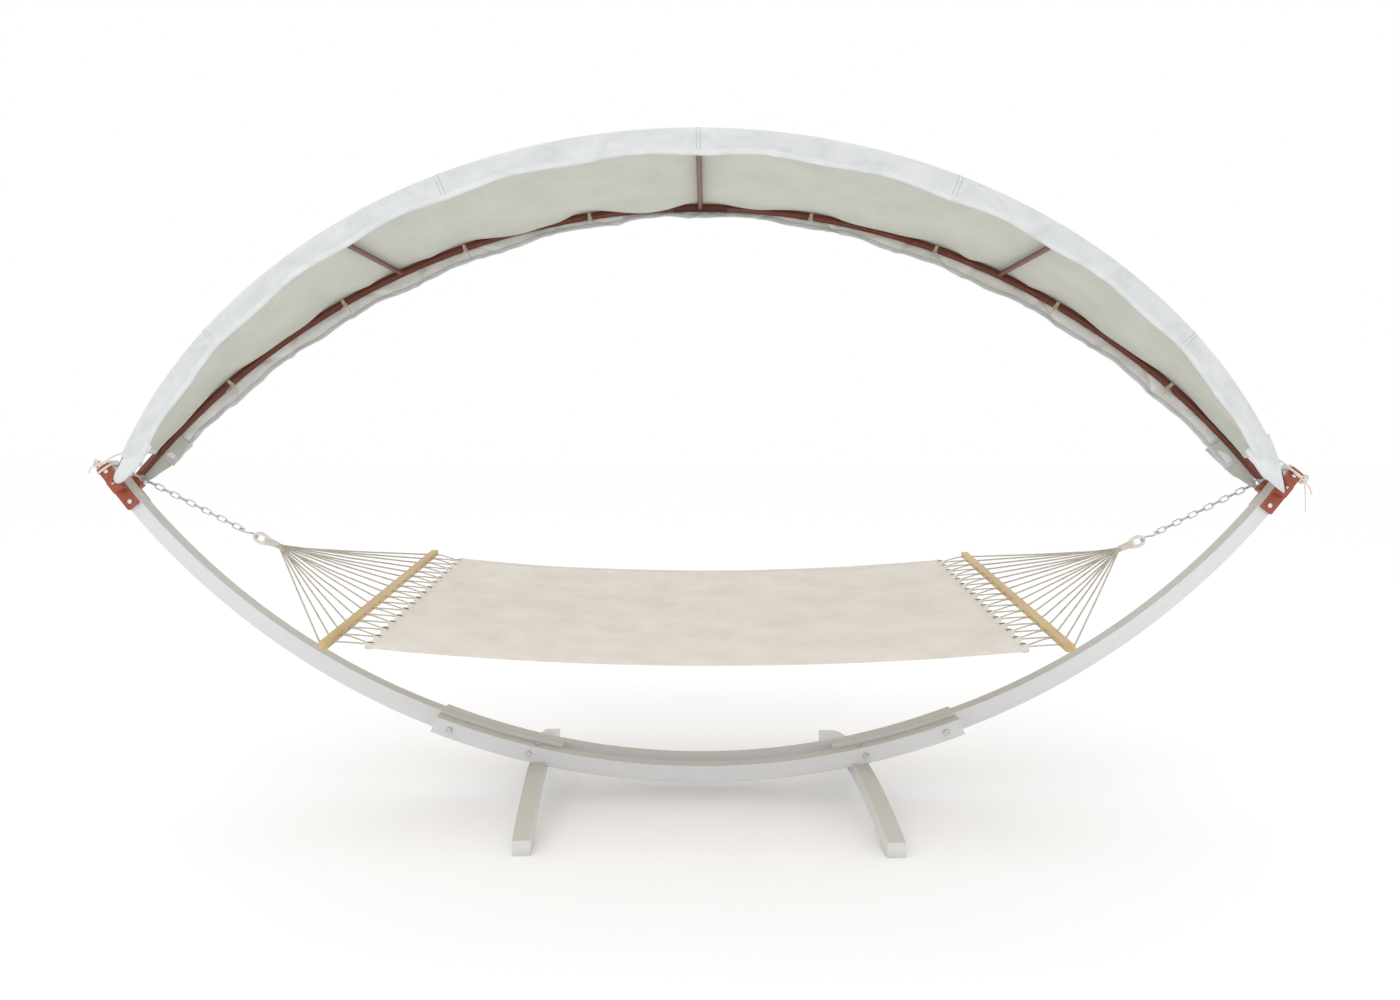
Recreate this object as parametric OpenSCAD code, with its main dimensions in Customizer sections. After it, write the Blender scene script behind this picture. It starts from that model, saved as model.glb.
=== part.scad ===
// Hammock on an arched wooden stand, with a fabric canopy over it.
// The origin is on the floor, midway between the feet. +X runs along the length,
// +Y to the rear and +Z up. Lengths are in millimetres and angles in degrees.

/* [Stand] */
// Radius of the stand's outer, lower curve
arc_r = 2420; // [2200:10:2700]
// Height of the lowest point of the curve above the floor
floor_gap = 51; // [40:1:80]
// Thickness of each base beam, front to back
beam_t = 56; // [40:1:70]
// Depth of each base beam along the radius
beam_h = 56; // [48:1:80]
// Angle from the lowest point to each end of the base beams
beam_angle = 21.2; // [20.6:0.1:24]
// Thickness of the arms, which sets the space between the base beams
arm_t = 60; // [40:1:80]
// Depth of an arm at its lower end
arm_root_w = 70; // [50:1:84]
// Depth of an arm at its tip
arm_tip_w = 45; // [43:1:56]
// Angle from the lowest point to the lower end of an arm
arm_root_angle = 11.0; // [9:0.1:12]
// Angle from the lowest point to the tip of an arm
arm_tip_angle = 54.7; // [54.6:0.1:56]
// Radius that rounds the long edges of the beams and arms
edge_r = 4; // [1:0.5:8]
// Angle to the inner of the two bolts that clamp an arm
arm_bolt_inner_angle = 13.4; // [13.2:0.1:15]
// Angle to the outer of the two bolts that clamp an arm
arm_bolt_outer_angle = 19.9; // [17:0.1:20]
// Diameter of the bolts that clamp the arms
arm_bolt_d = 10; // [8:1:12]

/* [Feet] */
// Length of each foot, front to back
foot_len = 1200; // [900:10:1400]
// Width of each foot
foot_w = 52; // [40:1:80]
// Distance of each foot from the middle of the stand
foot_x = 530; // [500:5:560]
// Turn of each foot about the vertical
foot_skew = 3.5; // [0:0.5:5]
// Thickness of a foot at its middle
foot_mid_h = 45; // [38:1:60]
// Height of a foot's end face
foot_end_h = 44; // [25:1:60]
// Length of the flat pad at each end of a foot
foot_pad = 50; // [30:5:120]
// Diameter of the bolts that hold the feet
foot_bolt_d = 8; // [6:1:10]

/* [Arm tips] */
// Length of the plates on the tip of each arm
plate_len = 165; // [155:1:200]
// Height of the plates across the arm
plate_w = 44; // [36:1:46]
// Thickness of each plate
plate_t = 12; // [8:1:20]
// Distance between the two bolts of a tip
tip_bolt_gap = 125; // [112:1:130]
// Diameter of the tip bolts
tip_bolt_d = 8; // [6:1:10]
// Angle from the lowest point to the middle of the tip plates
plate_angle = 52.6; // [52.4:0.1:52.8]
// Distance of the eye bolt above the middle of the plates, along the arm
eye_offset = 22; // [10:1:30]
// Diameter of the eye bolt's wire and shank
eye_wire = 6; // [5:0.5:7]
// Radius of the eye, to the middle of its wire
eye_r = 11; // [10:0.5:14]
// Space between the eye's ring and the arm
eye_stand_off = 10; // [5:1:20]

/* [Chains and hooks] */
// Number of links in each chain, an even number
link_count = 14; // [8:2:16]
// Diameter of the chain's wire
link_wire = 4; // [3:0.5:4.5]
// Radius of a link's rounded end, to the middle of the wire
link_r = 8; // [7.5:0.5:9]
// Length of a link's straight sides
link_side = 17; // [12:1:24]
// Slope of the chains below the horizontal
chain_slope = 27; // [20:0.5:34]
// Diameter of the hook's wire
hook_wire = 6; // [5:0.5:7]
// Length of the hook, end to end, to the middle of the wire
hook_len = 64; // [60:1:80]
// Diameter of the rope ring's rope
ring_rope = 14; // [10:1:15]
// Radius of the rope ring, to the middle of the rope
ring_r = 20; // [17:1:30]
// Length of the wrapped neck between the rope ring and the cords
neck_len = 50; // [30:1:80]
// Diameter of the wrapped neck
neck_d = 26; // [20:1:34]

/* [Bed] */
// Distance of each spreader bar from the middle of the hammock
bar_x = 1031; // [980:1:1080]
// Height of the spreader bars at their middle
bar_z = 667; // [620:1:700]
// Length of a spreader bar
bar_len = 1274; // [1000:1:1400]
// Width of a spreader bar along the hammock
bar_w = 28; // [22:1:34]
// Height of a spreader bar
bar_h = 22; // [18:1:30]
// Sideways list of the bed, the front side lower
bed_list = 5.5; // [0:0.5:7]
// Number of cords in each fan
cord_count = 17; // [9:2:21]
// Diameter of the cords
cord_d = 5; // [3:0.5:6]
// Distance of the outermost cords from the ends of the bar
cord_margin = 34; // [20:1:60]
// Length of the cord loops between a bar and the bed's hem
loop_len = 96; // [60:1:140]
// Distance by which the bed's side hems stay inside the ends of the bars
bed_inset = 26; // [10:1:60]
// Thickness of the bed's canvas
bed_t = 6; // [4:0.5:10]
// Sag of the bed along its length
bed_sag = 46; // [10:1:90]
// Sag of the bed across its width
bed_dish = 14; // [0:1:40]

/* [Canopy] */
// Distance of each rib's foot above the middle of the tip plates, along the arm
rib_foot_shift = 4; // [0:1:8]
// Rise of each rib in its own plane
rib_rise = 1113; // [900:1:1300]
// Lean of each rib away from the vertical
rib_lean = 24.4; // [18:0.2:32]
// Depth of a rib along its radius
rib_h = 18; // [14:1:24]
// Width of a rib
rib_w = 24; // [18:1:28]
// Angle from the crown to the outer cross bars
cross_angle = 29.6; // [20:0.2:40]
// Diameter of the cross bars
cross_d = 18; // [14:1:18]
// Thickness of the canopy cover
cover_t = 3; // [2:0.5:5]
// Depth of the valance at the front
front_drop = 70; // [40:1:110]
// Depth of the valance at the rear
rear_drop = 76; // [40:1:110]
// Distance along the ribs from their feet to the ends of the cover
cover_inset = 126; // [110:1:300]

/* [Fits] */
// Radial clearance of a bolt in its hole
bolt_gap = 0.5; // [0.2:0.1:1]
// Clearance between chain links, hooks and rings
link_gap = 0.4; // [0.3:0.1:0.5]
// Clearance of a foot in its notches and of a rib in its shoe
seat_gap = 0.4; // [0.2:0.1:1]
// Clearance between the cover or a tie and what it lies on
cloth_gap = 2; // [1:0.5:4]

/* [Hidden] */

arc_fn = 720;
small_fn = 48;
eps = 0.01;
arc_z = arc_r + floor_gap;
beam_y = (arm_t + beam_t) / 2;
beam_mid_r = arc_r - beam_h / 2;
pack_t = arm_t + 2 * beam_t;

// Arm taper: the inner curve is a circle whose centre is moved along the arm.
arm_mid_angle = (arm_root_angle + arm_tip_angle) / 2;
arm_span = sin((arm_tip_angle - arm_root_angle) / 2);
arm_mean_w = (arm_root_w + arm_tip_w) / 2;
taper_shift = (arm_root_w - arm_tip_w) / (2 * arm_span);
inner_r = arc_r - arm_mean_w;
strip_h = arm_tip_w - 2 * edge_r;
function arm_w(a) = arm_mean_w - taper_shift * sin(a - arm_mid_angle);

// Feet
foot_seat_margin = 2;
foot_seat_x = foot_x + foot_w / 2 + foot_seat_margin;
foot_seat_z = arc_z - sqrt(pow(arc_r, 2) - pow(foot_seat_x, 2));
foot_crown_z = foot_seat_z + 1.5;
foot_arch = foot_seat_z - foot_mid_h;
foot_arch_y = foot_len / 2 - foot_pad;
foot_under_r = (pow(foot_arch_y, 2) + pow(foot_arch, 2)) / (2 * foot_arch);
foot_top_rise = foot_crown_z - foot_end_h;
foot_top_r = (pow(foot_len / 2, 2) + pow(foot_top_rise, 2)) / (2 * foot_top_rise);
spot_depth = 4;
spot_d = 24;
pocket_depth = 7;
foot_spot_z = arc_z - sqrt(pow(arc_r - beam_h, 2) - pow(foot_x, 2)) - spot_depth;
foot_pocket_z = foot_arch + pocket_depth;

// Fasteners
washer_t = 2;
washer_d = 23;
foot_washer_d = 20;
head_d = 19;
head_h = 5;
foot_head_d = 15;
foot_head_h = 4.5;
nut_h = 7;
nut_d = 18;
foot_nut_d = 15;
thread_end = 3;
tip_head_d = 15;
tip_recess_d = 18;
tip_recess = 3;
tip_head_h = 4;

// Arm tips
plate_r = arc_r - arm_tip_w / 2;
plate_y = (arm_t + plate_t) / 2;
plate_face_y = arm_t / 2 + plate_t;
tip_bolt_angle = tip_bolt_gap / 2 / plate_r * 180 / PI;
eye_angle = plate_angle + eye_offset / plate_r * 180 / PI;
arm_inner_r = arc_r - arm_w(eye_angle);
eye_centre_r = arm_inner_r - eye_stand_off - eye_r;
eye_x = eye_centre_r * sin(eye_angle);
eye_z = arc_z - eye_centre_r * cos(eye_angle);
eye_spot = 2;
eye_washer_d = 18;
eye_nut_d = 12;

// Chain, measured from the centre of the eye down the chain's line
link_half = link_side / 2 + link_r;
link_pitch = 2 * link_half - link_wire - link_gap;
first_link = eye_r - eye_wire / 2 - link_gap - link_wire / 2 + link_half;
last_link = first_link + (link_count - 1) * link_pitch;
hook_top = last_link + link_half - link_wire / 2 - link_gap - hook_wire / 2;
hook_end = hook_top + hook_len;
ring_start = hook_end - hook_wire / 2 - link_gap - ring_rope / 2;
hook_r = hook_len / 4;
hook_turn = 250;
ring_x = eye_x - ring_start * cos(chain_slope);
ring_z = eye_z - ring_start * sin(chain_slope);
ring_slope = atan2(ring_z - bar_z, ring_x - bar_x);
neck_start = 2 * ring_r - 2;
apex_x = ring_x - (neck_start + neck_len) * cos(ring_slope);
apex_z = ring_z - (neck_start + neck_len) * sin(ring_slope);

// Bed, cords and loops
cord_pitch = (bar_len - 2 * cord_margin) / (cord_count - 1);
cord_hole_d = cord_d + 2;
cord_sides = 8;
loop_d = cord_d;
hem_x = bar_x - loop_len;
bed_half = bar_len / 2 - bed_inset;
hem_z = bar_z - 12;
bed_steps = 24;
bed_cells = 12;
bend_x = bar_x + bar_w / 2 + 9;
gather_share = 0.08;
cord_start_gap = 8;
cord_layer_gap = 0.4;

// Canopy
rib_foot_x = plate_r * sin(plate_angle) + rib_foot_shift * cos(plate_angle);
rib_foot_z = arc_z - plate_r * cos(plate_angle) + rib_foot_shift * sin(plate_angle);
rib_r = (pow(rib_foot_x, 2) + pow(rib_rise, 2)) / (2 * rib_rise);
rib_angle = asin(rib_foot_x / rib_r);
cover_angle = rib_angle - cover_inset / rib_r * 180 / PI;
rib_foot_y = plate_face_y + 14;
rib_centre = rib_rise - rib_r;
rib_edge_r = 3;
shoe_len = 46;
shoe_w = 34;
shoe_in = 8;
shoe_t = 34;
shoe_screw_d = 4;
shoe_screw_up = 11;
shoe_screw_angle = rib_angle - shoe_screw_up / rib_r * 180 / PI;
splice_angle = 2.6;
splice_t = 3;
splice_w = 18;
splice_screw_d = 3;
splice_screw_len = 12;
cross_screw_d = 4;
cross_screw_in = 24;
cover_steps = 48;
front_scallop = 8;
rear_scallop = 10;
scallop_angle = 9.6;
tie_w = 6;
tie_t = 3;
tie_back = 12;

function rib_out(a) = [rib_r * sin(a), rib_r * cos(a) + rib_centre];
function rib_world_y(h) = rib_foot_y + h * sin(rib_lean);
function rib_world_z(h) = rib_foot_z + h * cos(rib_lean);

// Rectangle with round corners, made of exact squares and circles
module rounded_rect(w, h, r) {
    square([w - 2 * r, h], center = true);
    square([w, h - 2 * r], center = true);
    for (x = [-1, 1], y = [-1, 1])
        translate([x * (w / 2 - r), y * (h / 2 - r)])
            circle(r = r, $fn = small_fn);
}

// Bar bent about the Y axis, from angle a0 to a1 from straight down, towards +X
module arc_bar(r_mid, h, t, a0, a1, r) {
    rotate([90, 0, 0])
        rotate([0, 0, a0 - 90])
            rotate_extrude(angle = a1 - a0, $fn = arc_fn)
                translate([r_mid, 0])
                    rounded_rect(h, t, r);
}

// The same for the ribs, with the angle from straight up
module crown_bar(r_mid, h, t, a0, a1, r) {
    rotate([90, 0, 0])
        rotate([0, 0, 90 - a1])
            rotate_extrude(angle = a1 - a0, $fn = arc_fn)
                translate([r_mid, 0])
                    rounded_rect(h, t, r);
}

module side(s) {
    if (s < 0)
        mirror([1, 0, 0])
            children();
    else
        children();
}

// Frame on the stand's arc: local X along the arm, local Z towards the arc's centre
module at_angle(a) {
    translate([0, 0, arc_z])
        rotate([0, -a, 0])
            children();
}

module y_rod(d, y0, y1) {
    translate([0, y0, 0])
        rotate([-90, 0, 0])
            cylinder(d = d, h = y1 - y0, $fn = small_fn);
}

module tube(d_out, d_in, h) {
    difference() {
        cylinder(d = d_out, h = h, $fn = small_fn);
        translate([0, 0, -1])
            cylinder(d = d_in, h = h + 2, $fn = small_fn);
    }
}

module hex_nut(d_out, d_in, h) {
    difference() {
        cylinder(d = d_out, h = h, $fn = 6);
        translate([0, 0, -1])
            cylinder(d = d_in, h = h + 2, $fn = small_fn);
    }
}

// Places of the bolts
module at_arm_bolts() {
    for (s = [-1, 1], a = [arm_bolt_inner_angle, arm_bolt_outer_angle])
        side(s)
            at_angle(a)
                translate([0, 0, -beam_mid_r])
                    children();
}

module at_foot_bolts() {
    for (s = [-1, 1], y = [-1, 1])
        translate([s * foot_x, 0, 0])
            rotate([0, 0, foot_skew])
                translate([0, y * beam_y / cos(foot_skew), 0])
                    children();
}

module at_tip_bolts(s) {
    for (a = [-tip_bolt_angle, tip_bolt_angle])
        side(s)
            at_angle(plate_angle + a)
                translate([0, 0, -plate_r])
                    children();
}

// Base beams
module base_beam(y) {
    color("whitesmoke")
        difference() {
            translate([0, y * beam_y, arc_z])
                arc_bar(beam_mid_r, beam_h, beam_t, -beam_angle, beam_angle, edge_r);
            at_arm_bolts()
                y_rod(arm_bolt_d + 2 * bolt_gap, -pack_t, pack_t);
            at_foot_bolts()
                cylinder(d = foot_bolt_d + 2 * bolt_gap, h = arc_r / 4, $fn = small_fn);
            at_foot_bolts()
                translate([0, 0, foot_spot_z])
                    cylinder(d = spot_d, h = beam_h, $fn = small_fn);
        }
}

module front_base_beam() {
    base_beam(-1);
}

module rear_base_beam() {
    base_beam(1);
}

// Arms: an outer strip and an inner strip, one about each circle's centre
module arm(s) {
    color("whitesmoke")
        difference() {
            side(s)
                union() {
                    translate([0, 0, arc_z])
                        arc_bar(arc_r - strip_h / 2, strip_h, arm_t,
                            arm_root_angle, arm_tip_angle, edge_r);
                    intersection() {
                        translate([taper_shift * cos(arm_mid_angle), 0,
                            arc_z + taper_shift * sin(arm_mid_angle)])
                            arc_bar(inner_r + strip_h / 2, strip_h, arm_t,
                                arm_root_angle - 3, arm_tip_angle + 3, edge_r);
                        translate([0, 0, arc_z])
                            arc_bar(arc_r - arm_root_w, 2 * arm_root_w, 2 * arm_t,
                                arm_root_angle, arm_tip_angle, edge_r);
                    }
                }
            at_arm_bolts()
                y_rod(arm_bolt_d + 2 * bolt_gap, -pack_t, pack_t);
            at_tip_bolts(s)
                y_rod(tip_bolt_d + 2 * bolt_gap, -pack_t, pack_t);
            side(s)
                at_angle(eye_angle)
                    translate([0, 0, -arc_r - 1])
                        cylinder(d = eye_wire + 2 * bolt_gap, h = 2 * arm_tip_w, $fn = small_fn);
            side(s)
                at_angle(eye_angle)
                    translate([0, 0, -arc_r - 1])
                        cylinder(d = eye_washer_d + 1, h = eye_spot + 1, $fn = small_fn);
        }
}

module left_arm() {
    arm(-1);
}

module right_arm() {
    arm(1);
}

// Feet: a shallow arch with flat pads at the ends, housed for the beams and arm
module foot(s) {
    color("whitesmoke")
        difference() {
            translate([s * foot_x, 0, 0])
                rotate([0, 0, foot_skew])
                    foot_blank();
            translate([0, -pack_t / 2 - seat_gap, arc_z])
                rotate([-90, 0, 0])
                    cylinder(r = arc_r, h = pack_t + 2 * seat_gap, $fn = arc_fn);
        }
}

module foot_blank() {
    difference() {
        rotate([90, 0, 90])
            linear_extrude(height = foot_w, center = true)
                difference() {
                    intersection() {
                        translate([0, foot_crown_z - foot_top_r])
                            circle(r = foot_top_r, $fn = arc_fn);
                        translate([-foot_len / 2, 0])
                            square([foot_len, foot_seat_z]);
                    }
                    translate([0, foot_arch - foot_under_r])
                        circle(r = foot_under_r, $fn = arc_fn);
                }
        for (y = [-1, 1])
            translate([0, y * beam_y / cos(foot_skew), -1])
                cylinder(d = foot_bolt_d + 2 * bolt_gap, h = foot_seat_z + 2, $fn = small_fn);
        for (y = [-1, 1])
            translate([0, y * beam_y / cos(foot_skew), -1])
                cylinder(d = spot_d, h = foot_pocket_z + 1, $fn = small_fn);
    }
}

module left_foot() {
    foot(-1);
}

module right_foot() {
    foot(1);
}

// Bolts that clamp the arms between the beams
module arm_bolts() {
    color("silver")
        at_arm_bolts()
            union() {
                y_rod(arm_bolt_d, -pack_t / 2 - washer_t - eps,
                    pack_t / 2 + washer_t + nut_h + thread_end);
                y_rod(head_d, -pack_t / 2 - washer_t - head_h, -pack_t / 2 - washer_t);
            }
}

module arm_bolt_washers() {
    color("silver")
        at_arm_bolts()
            for (y = [-pack_t / 2 - washer_t, pack_t / 2])
                translate([0, y, 0])
                    rotate([-90, 0, 0])
                        tube(washer_d, arm_bolt_d + 2 * bolt_gap, washer_t);
}

module arm_bolt_nuts() {
    color("silver")
        at_arm_bolts()
            translate([0, pack_t / 2 + washer_t, 0])
                rotate([-90, 0, 0])
                    hex_nut(nut_d, arm_bolt_d, nut_h);
}

// Bolts that hold the feet under the beams
module foot_bolts() {
    color("silver")
        at_foot_bolts()
            union() {
                translate([0, 0, foot_pocket_z - washer_t - nut_h - thread_end])
                    cylinder(d = foot_bolt_d, h = foot_spot_z + 2 * washer_t - foot_pocket_z
                        + nut_h + thread_end + eps, $fn = small_fn);
                translate([0, 0, foot_spot_z + washer_t])
                    cylinder(d = foot_head_d, h = foot_head_h, $fn = small_fn);
            }
}

module foot_bolt_washers() {
    color("silver")
        at_foot_bolts()
            for (z = [foot_pocket_z - washer_t, foot_spot_z])
                translate([0, 0, z])
                    tube(foot_washer_d, foot_bolt_d + 2 * bolt_gap, washer_t);
}

module foot_bolt_nuts() {
    color("silver")
        at_foot_bolts()
            translate([0, 0, foot_pocket_z - washer_t - nut_h])
                hex_nut(foot_nut_d, foot_bolt_d, nut_h);
}

// Plates on the arm tips
module tip_plate(s, y) {
    color("sienna")
        difference() {
            side(s)
                at_angle(plate_angle)
                    translate([0, y * plate_y, -plate_r])
                        rotate([90, 0, 0])
                            linear_extrude(height = plate_t, center = true)
                                rounded_rect(plate_len, plate_w, 2);
            at_tip_bolts(s)
                y_rod(tip_bolt_d + 2 * bolt_gap, -pack_t, pack_t);
            at_tip_bolts(s)
                y_rod(tip_recess_d, y < 0 ? -pack_t : plate_face_y - tip_recess,
                    y < 0 ? -plate_face_y + tip_recess : pack_t);
            side(s)
                shoe_screw_bore(y, shoe_screw_d);
        }
}

module left_front_tip_plate() {
    tip_plate(-1, -1);
}

module left_rear_tip_plate() {
    tip_plate(-1, 1);
}

module right_front_tip_plate() {
    tip_plate(1, -1);
}

module right_rear_tip_plate() {
    tip_plate(1, 1);
}

module tip_bolts() {
    color("gainsboro")
        for (s = [-1, 1])
            at_tip_bolts(s)
                union() {
                    y_rod(tip_bolt_d, -plate_face_y + tip_recess - eps,
                        plate_face_y - tip_recess + tip_head_h + thread_end);
                    y_rod(tip_head_d, -plate_face_y + tip_recess - tip_head_h,
                        -plate_face_y + tip_recess);
                }
}

module tip_bolt_nuts() {
    color("gainsboro")
        for (s = [-1, 1])
            at_tip_bolts(s)
                translate([0, plate_face_y - tip_recess, 0])
                    rotate([-90, 0, 0])
                        hex_nut(tip_head_d, tip_bolt_d, tip_head_h);
}

// Eye bolts that carry the chains
module eye_bolt(s) {
    color("silver")
        side(s)
            at_angle(eye_angle)
                union() {
                    translate([0, 0, -eye_centre_r])
                        rotate([90, 0, 0])
                            rotate_extrude($fn = 96)
                                translate([eye_r, 0])
                                    circle(d = eye_wire, $fn = 32);
                    translate([0, 0, -arc_r + eye_spot - washer_t - nut_h - thread_end])
                        cylinder(d = eye_wire, h = arc_r - eye_centre_r - eye_r - eye_spot
                            + washer_t + nut_h + thread_end, $fn = small_fn);
                }
}

module left_eye_bolt() {
    eye_bolt(-1);
}

module right_eye_bolt() {
    eye_bolt(1);
}

module eye_bolt_washers() {
    color("silver")
        for (s = [-1, 1])
            side(s)
                at_angle(eye_angle)
                    translate([0, 0, -arc_r + eye_spot - washer_t])
                        tube(eye_washer_d, eye_wire + 2 * bolt_gap, washer_t);
}

module eye_bolt_nuts() {
    color("silver")
        for (s = [-1, 1])
            side(s)
                at_angle(eye_angle)
                    translate([0, 0, -arc_r + eye_spot - washer_t - nut_h])
                        hex_nut(eye_nut_d, eye_wire, nut_h);
}

// Frame on a chain's line: local X runs down the chain from the centre of the eye
module on_chain(s) {
    side(s)
        translate([eye_x, 0, eye_z])
            rotate([0, 180 - chain_slope, 0])
                children();
}

// One welded link along local X, lying in the local XY plane
module chain_link() {
    for (x = [-1, 1])
        translate([x * link_side / 2, 0, 0])
            rotate([0, 0, x < 0 ? 90 : -90])
                rotate_extrude(angle = 180, $fn = 48)
                    translate([link_r, 0])
                        circle(d = link_wire, $fn = 24);
    for (y = [-1, 1])
        translate([-link_side / 2, y * link_r, 0])
            rotate([0, 90, 0])
                cylinder(d = link_wire, h = link_side, $fn = 24);
}

module chain(s) {
    color("silver")
        for (i = [0 : link_count - 1])
            on_chain(s)
                translate([first_link + i * link_pitch, 0, 0])
                    rotate([i % 2 == 0 ? 0 : 90, 0, 0])
                        chain_link();
}

module left_chain() {
    chain(-1);
}

module right_chain() {
    chain(1);
}

// Round wire bent about local Y, from angle a0 to a1 in the local XZ plane
module wire_bend(r, d, a0, a1) {
    rotate([90, 0, 0])
        rotate([0, 0, a0])
            rotate_extrude(angle = a1 - a0, $fn = 72)
                translate([r, 0])
                    circle(d = d, $fn = 32);
}

// Open S hook: two bends that meet in the middle
module s_hook() {
    translate([-hook_r, 0, 0])
        wire_bend(hook_r, hook_wire, 0, hook_turn);
    translate([hook_r, 0, 0])
        wire_bend(hook_r, hook_wire, 180, 180 + hook_turn);
}

module hook(s) {
    color("silver")
        on_chain(s)
            translate([hook_top + hook_len / 2, 0, 0])
                rotate([90, 0, 0])
                    s_hook();
}

module left_hook() {
    hook(-1);
}

module right_hook() {
    hook(1);
}

// Frame on the rope ring's line: local X runs from the ring to the bar
module on_ring(s) {
    side(s)
        translate([ring_x, 0, ring_z])
            rotate([0, 180 - ring_slope, 0])
                children();
}

// Where the cords leave the neck they lie side by side, as one flat piece
module gathered_ends() {
    reach = (apex_x - bend_x) / cos(ring_slope) * gather_share - cord_start_gap;
    spread = (bar_len / 2 - cord_margin) * gather_share;
    linear_extrude(height = 2 * cord_d, center = true)
        polygon([[0, -neck_d / 2 + 3], [reach, -spread - cord_d / 2],
            [reach, spread + cord_d / 2], [0, neck_d / 2 - 3]]);
}

module rope_ring(s) {
    color("antiquewhite")
        on_ring(s)
            union() {
                translate([ring_r, 0, 0])
                    rotate([90, 0, 0])
                        rotate_extrude($fn = 96)
                            translate([ring_r, 0])
                                circle(d = ring_rope, $fn = 32);
                translate([neck_start, 0, 0])
                    rotate([0, 90, 0])
                        cylinder(d = neck_d, h = neck_len, $fn = small_fn);
                translate([neck_start + neck_len - eps, 0, 0])
                    gathered_ends();
            }
}

module left_rope_ring() {
    rope_ring(-1);
}

module right_rope_ring() {
    rope_ring(1);
}

// Everything on the bed leans by the list about a line along the hammock
module listed() {
    translate([0, 0, bar_z])
        rotate([bed_list, 0, 0])
            translate([0, 0, -bar_z])
                children();
}
function list_point(p) = [p[0],
    p[1] * cos(bed_list) - (p[2] - bar_z) * sin(bed_list),
    bar_z + p[1] * sin(bed_list) + (p[2] - bar_z) * cos(bed_list)];

module spreader_bar(s) {
    color("burlywood")
        listed()
            translate([s * bar_x, 0, bar_z])
                difference() {
                    rotate([90, 0, 0])
                        linear_extrude(height = bar_len, center = true)
                            rounded_rect(bar_w, bar_h, 5);
                    for (i = [0 : cord_count - 1])
                        translate([-bar_w, -bar_len / 2 + cord_margin + i * cord_pitch, 0])
                            rotate([0, 90, 0])
                                cylinder(d = cord_hole_d, h = 2 * bar_w, $fn = 32);
                }
}

module left_spreader_bar() {
    spreader_bar(-1);
}

module right_spreader_bar() {
    spreader_bar(1);
}

// Round tube of diameter d through the points of path
function unit(v) = v / norm(v);
function path_dir(p, i) = unit(p[min(i + 1, len(p) - 1)] - p[max(i - 1, 0)]);
function path_side(d) = unit(cross(d, [0, 0, 1]));
function ring_point(c, d, r, a) =
    c + r * cos(a) * path_side(d) + r * sin(a) * cross(path_side(d), d);
module path_tube(path, d, n) {
    points = [for (i = [0 : len(path) - 1], k = [0 : n - 1])
        ring_point(path[i], path_dir(path, i), d / 2, 360 * k / n)];
    walls = [for (i = [0 : len(path) - 2], k = [0 : n - 1])
        [i * n + k, i * n + (k + 1) % n, (i + 1) * n + (k + 1) % n, (i + 1) * n + k]];
    first = [for (k = [n - 1 : -1 : 0]) k];
    last = [for (k = [0 : n - 1]) (len(path) - 1) * n + k];
    polyhedron(points = points, faces = concat(walls, [first], [last]), convexity = 4);
}

// A fan cord leaves the gathered ends in one of two layers, runs to the bar,
// turns there and passes through its hole
function fan_path(s, i) = let (
    y = -bar_len / 2 + cord_margin + i * cord_pitch,
    layer = (i % 2 == 0 ? 1 : -1) * (cord_d / 2 + cord_layer_gap),
    apex = [s * apex_x, 0, apex_z + layer],
    bend = list_point([s * bend_x, y, bar_z]),
    near = list_point([s * (bar_x + bar_w / 2 + 3), y, bar_z]),
    far = list_point([s * (bar_x - bar_w / 2 - 4), y, bar_z]),
    start = apex + (bend - apex) * gather_share,
    back = [s * cos(ring_slope), 0, sin(ring_slope)])
    [start + 3 * back, start, bend, near, far];

module fan_cords(s) {
    color("antiquewhite")
        for (i = [0 : cord_count - 1])
            path_tube(fan_path(s, i), cord_d, cord_sides);
}

module left_fan_cords() {
    fan_cords(-1);
}

module right_fan_cords() {
    fan_cords(1);
}

// A loop runs from one hole to the hem and back to the next hole
function loop_path(s, i) = let (
    y0 = -bar_len / 2 + cord_margin + i * cord_pitch,
    x_bar = s * (bar_x - bar_w / 2 - 4.5),
    x_hem = s * (hem_x + 4))
    [list_point([x_bar, y0 + 3.5, bar_z]),
        list_point([s * (hem_x + loop_len * 0.35), y0 + cord_pitch * 0.24, bar_z - 4]),
        list_point([x_hem, y0 + cord_pitch * 0.42, hem_z + 1]),
        list_point([x_hem, y0 + cord_pitch * 0.58, hem_z + 1]),
        list_point([s * (hem_x + loop_len * 0.35), y0 + cord_pitch * 0.76, bar_z - 4]),
        list_point([x_bar, y0 + cord_pitch - 3.5, bar_z])];

module hem_loops(s) {
    color("antiquewhite")
        for (i = [0 : cord_count - 2])
            path_tube(loop_path(s, i), loop_d, cord_sides);
}

module left_hem_loops() {
    hem_loops(-1);
}

module right_hem_loops() {
    hem_loops(1);
}

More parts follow.
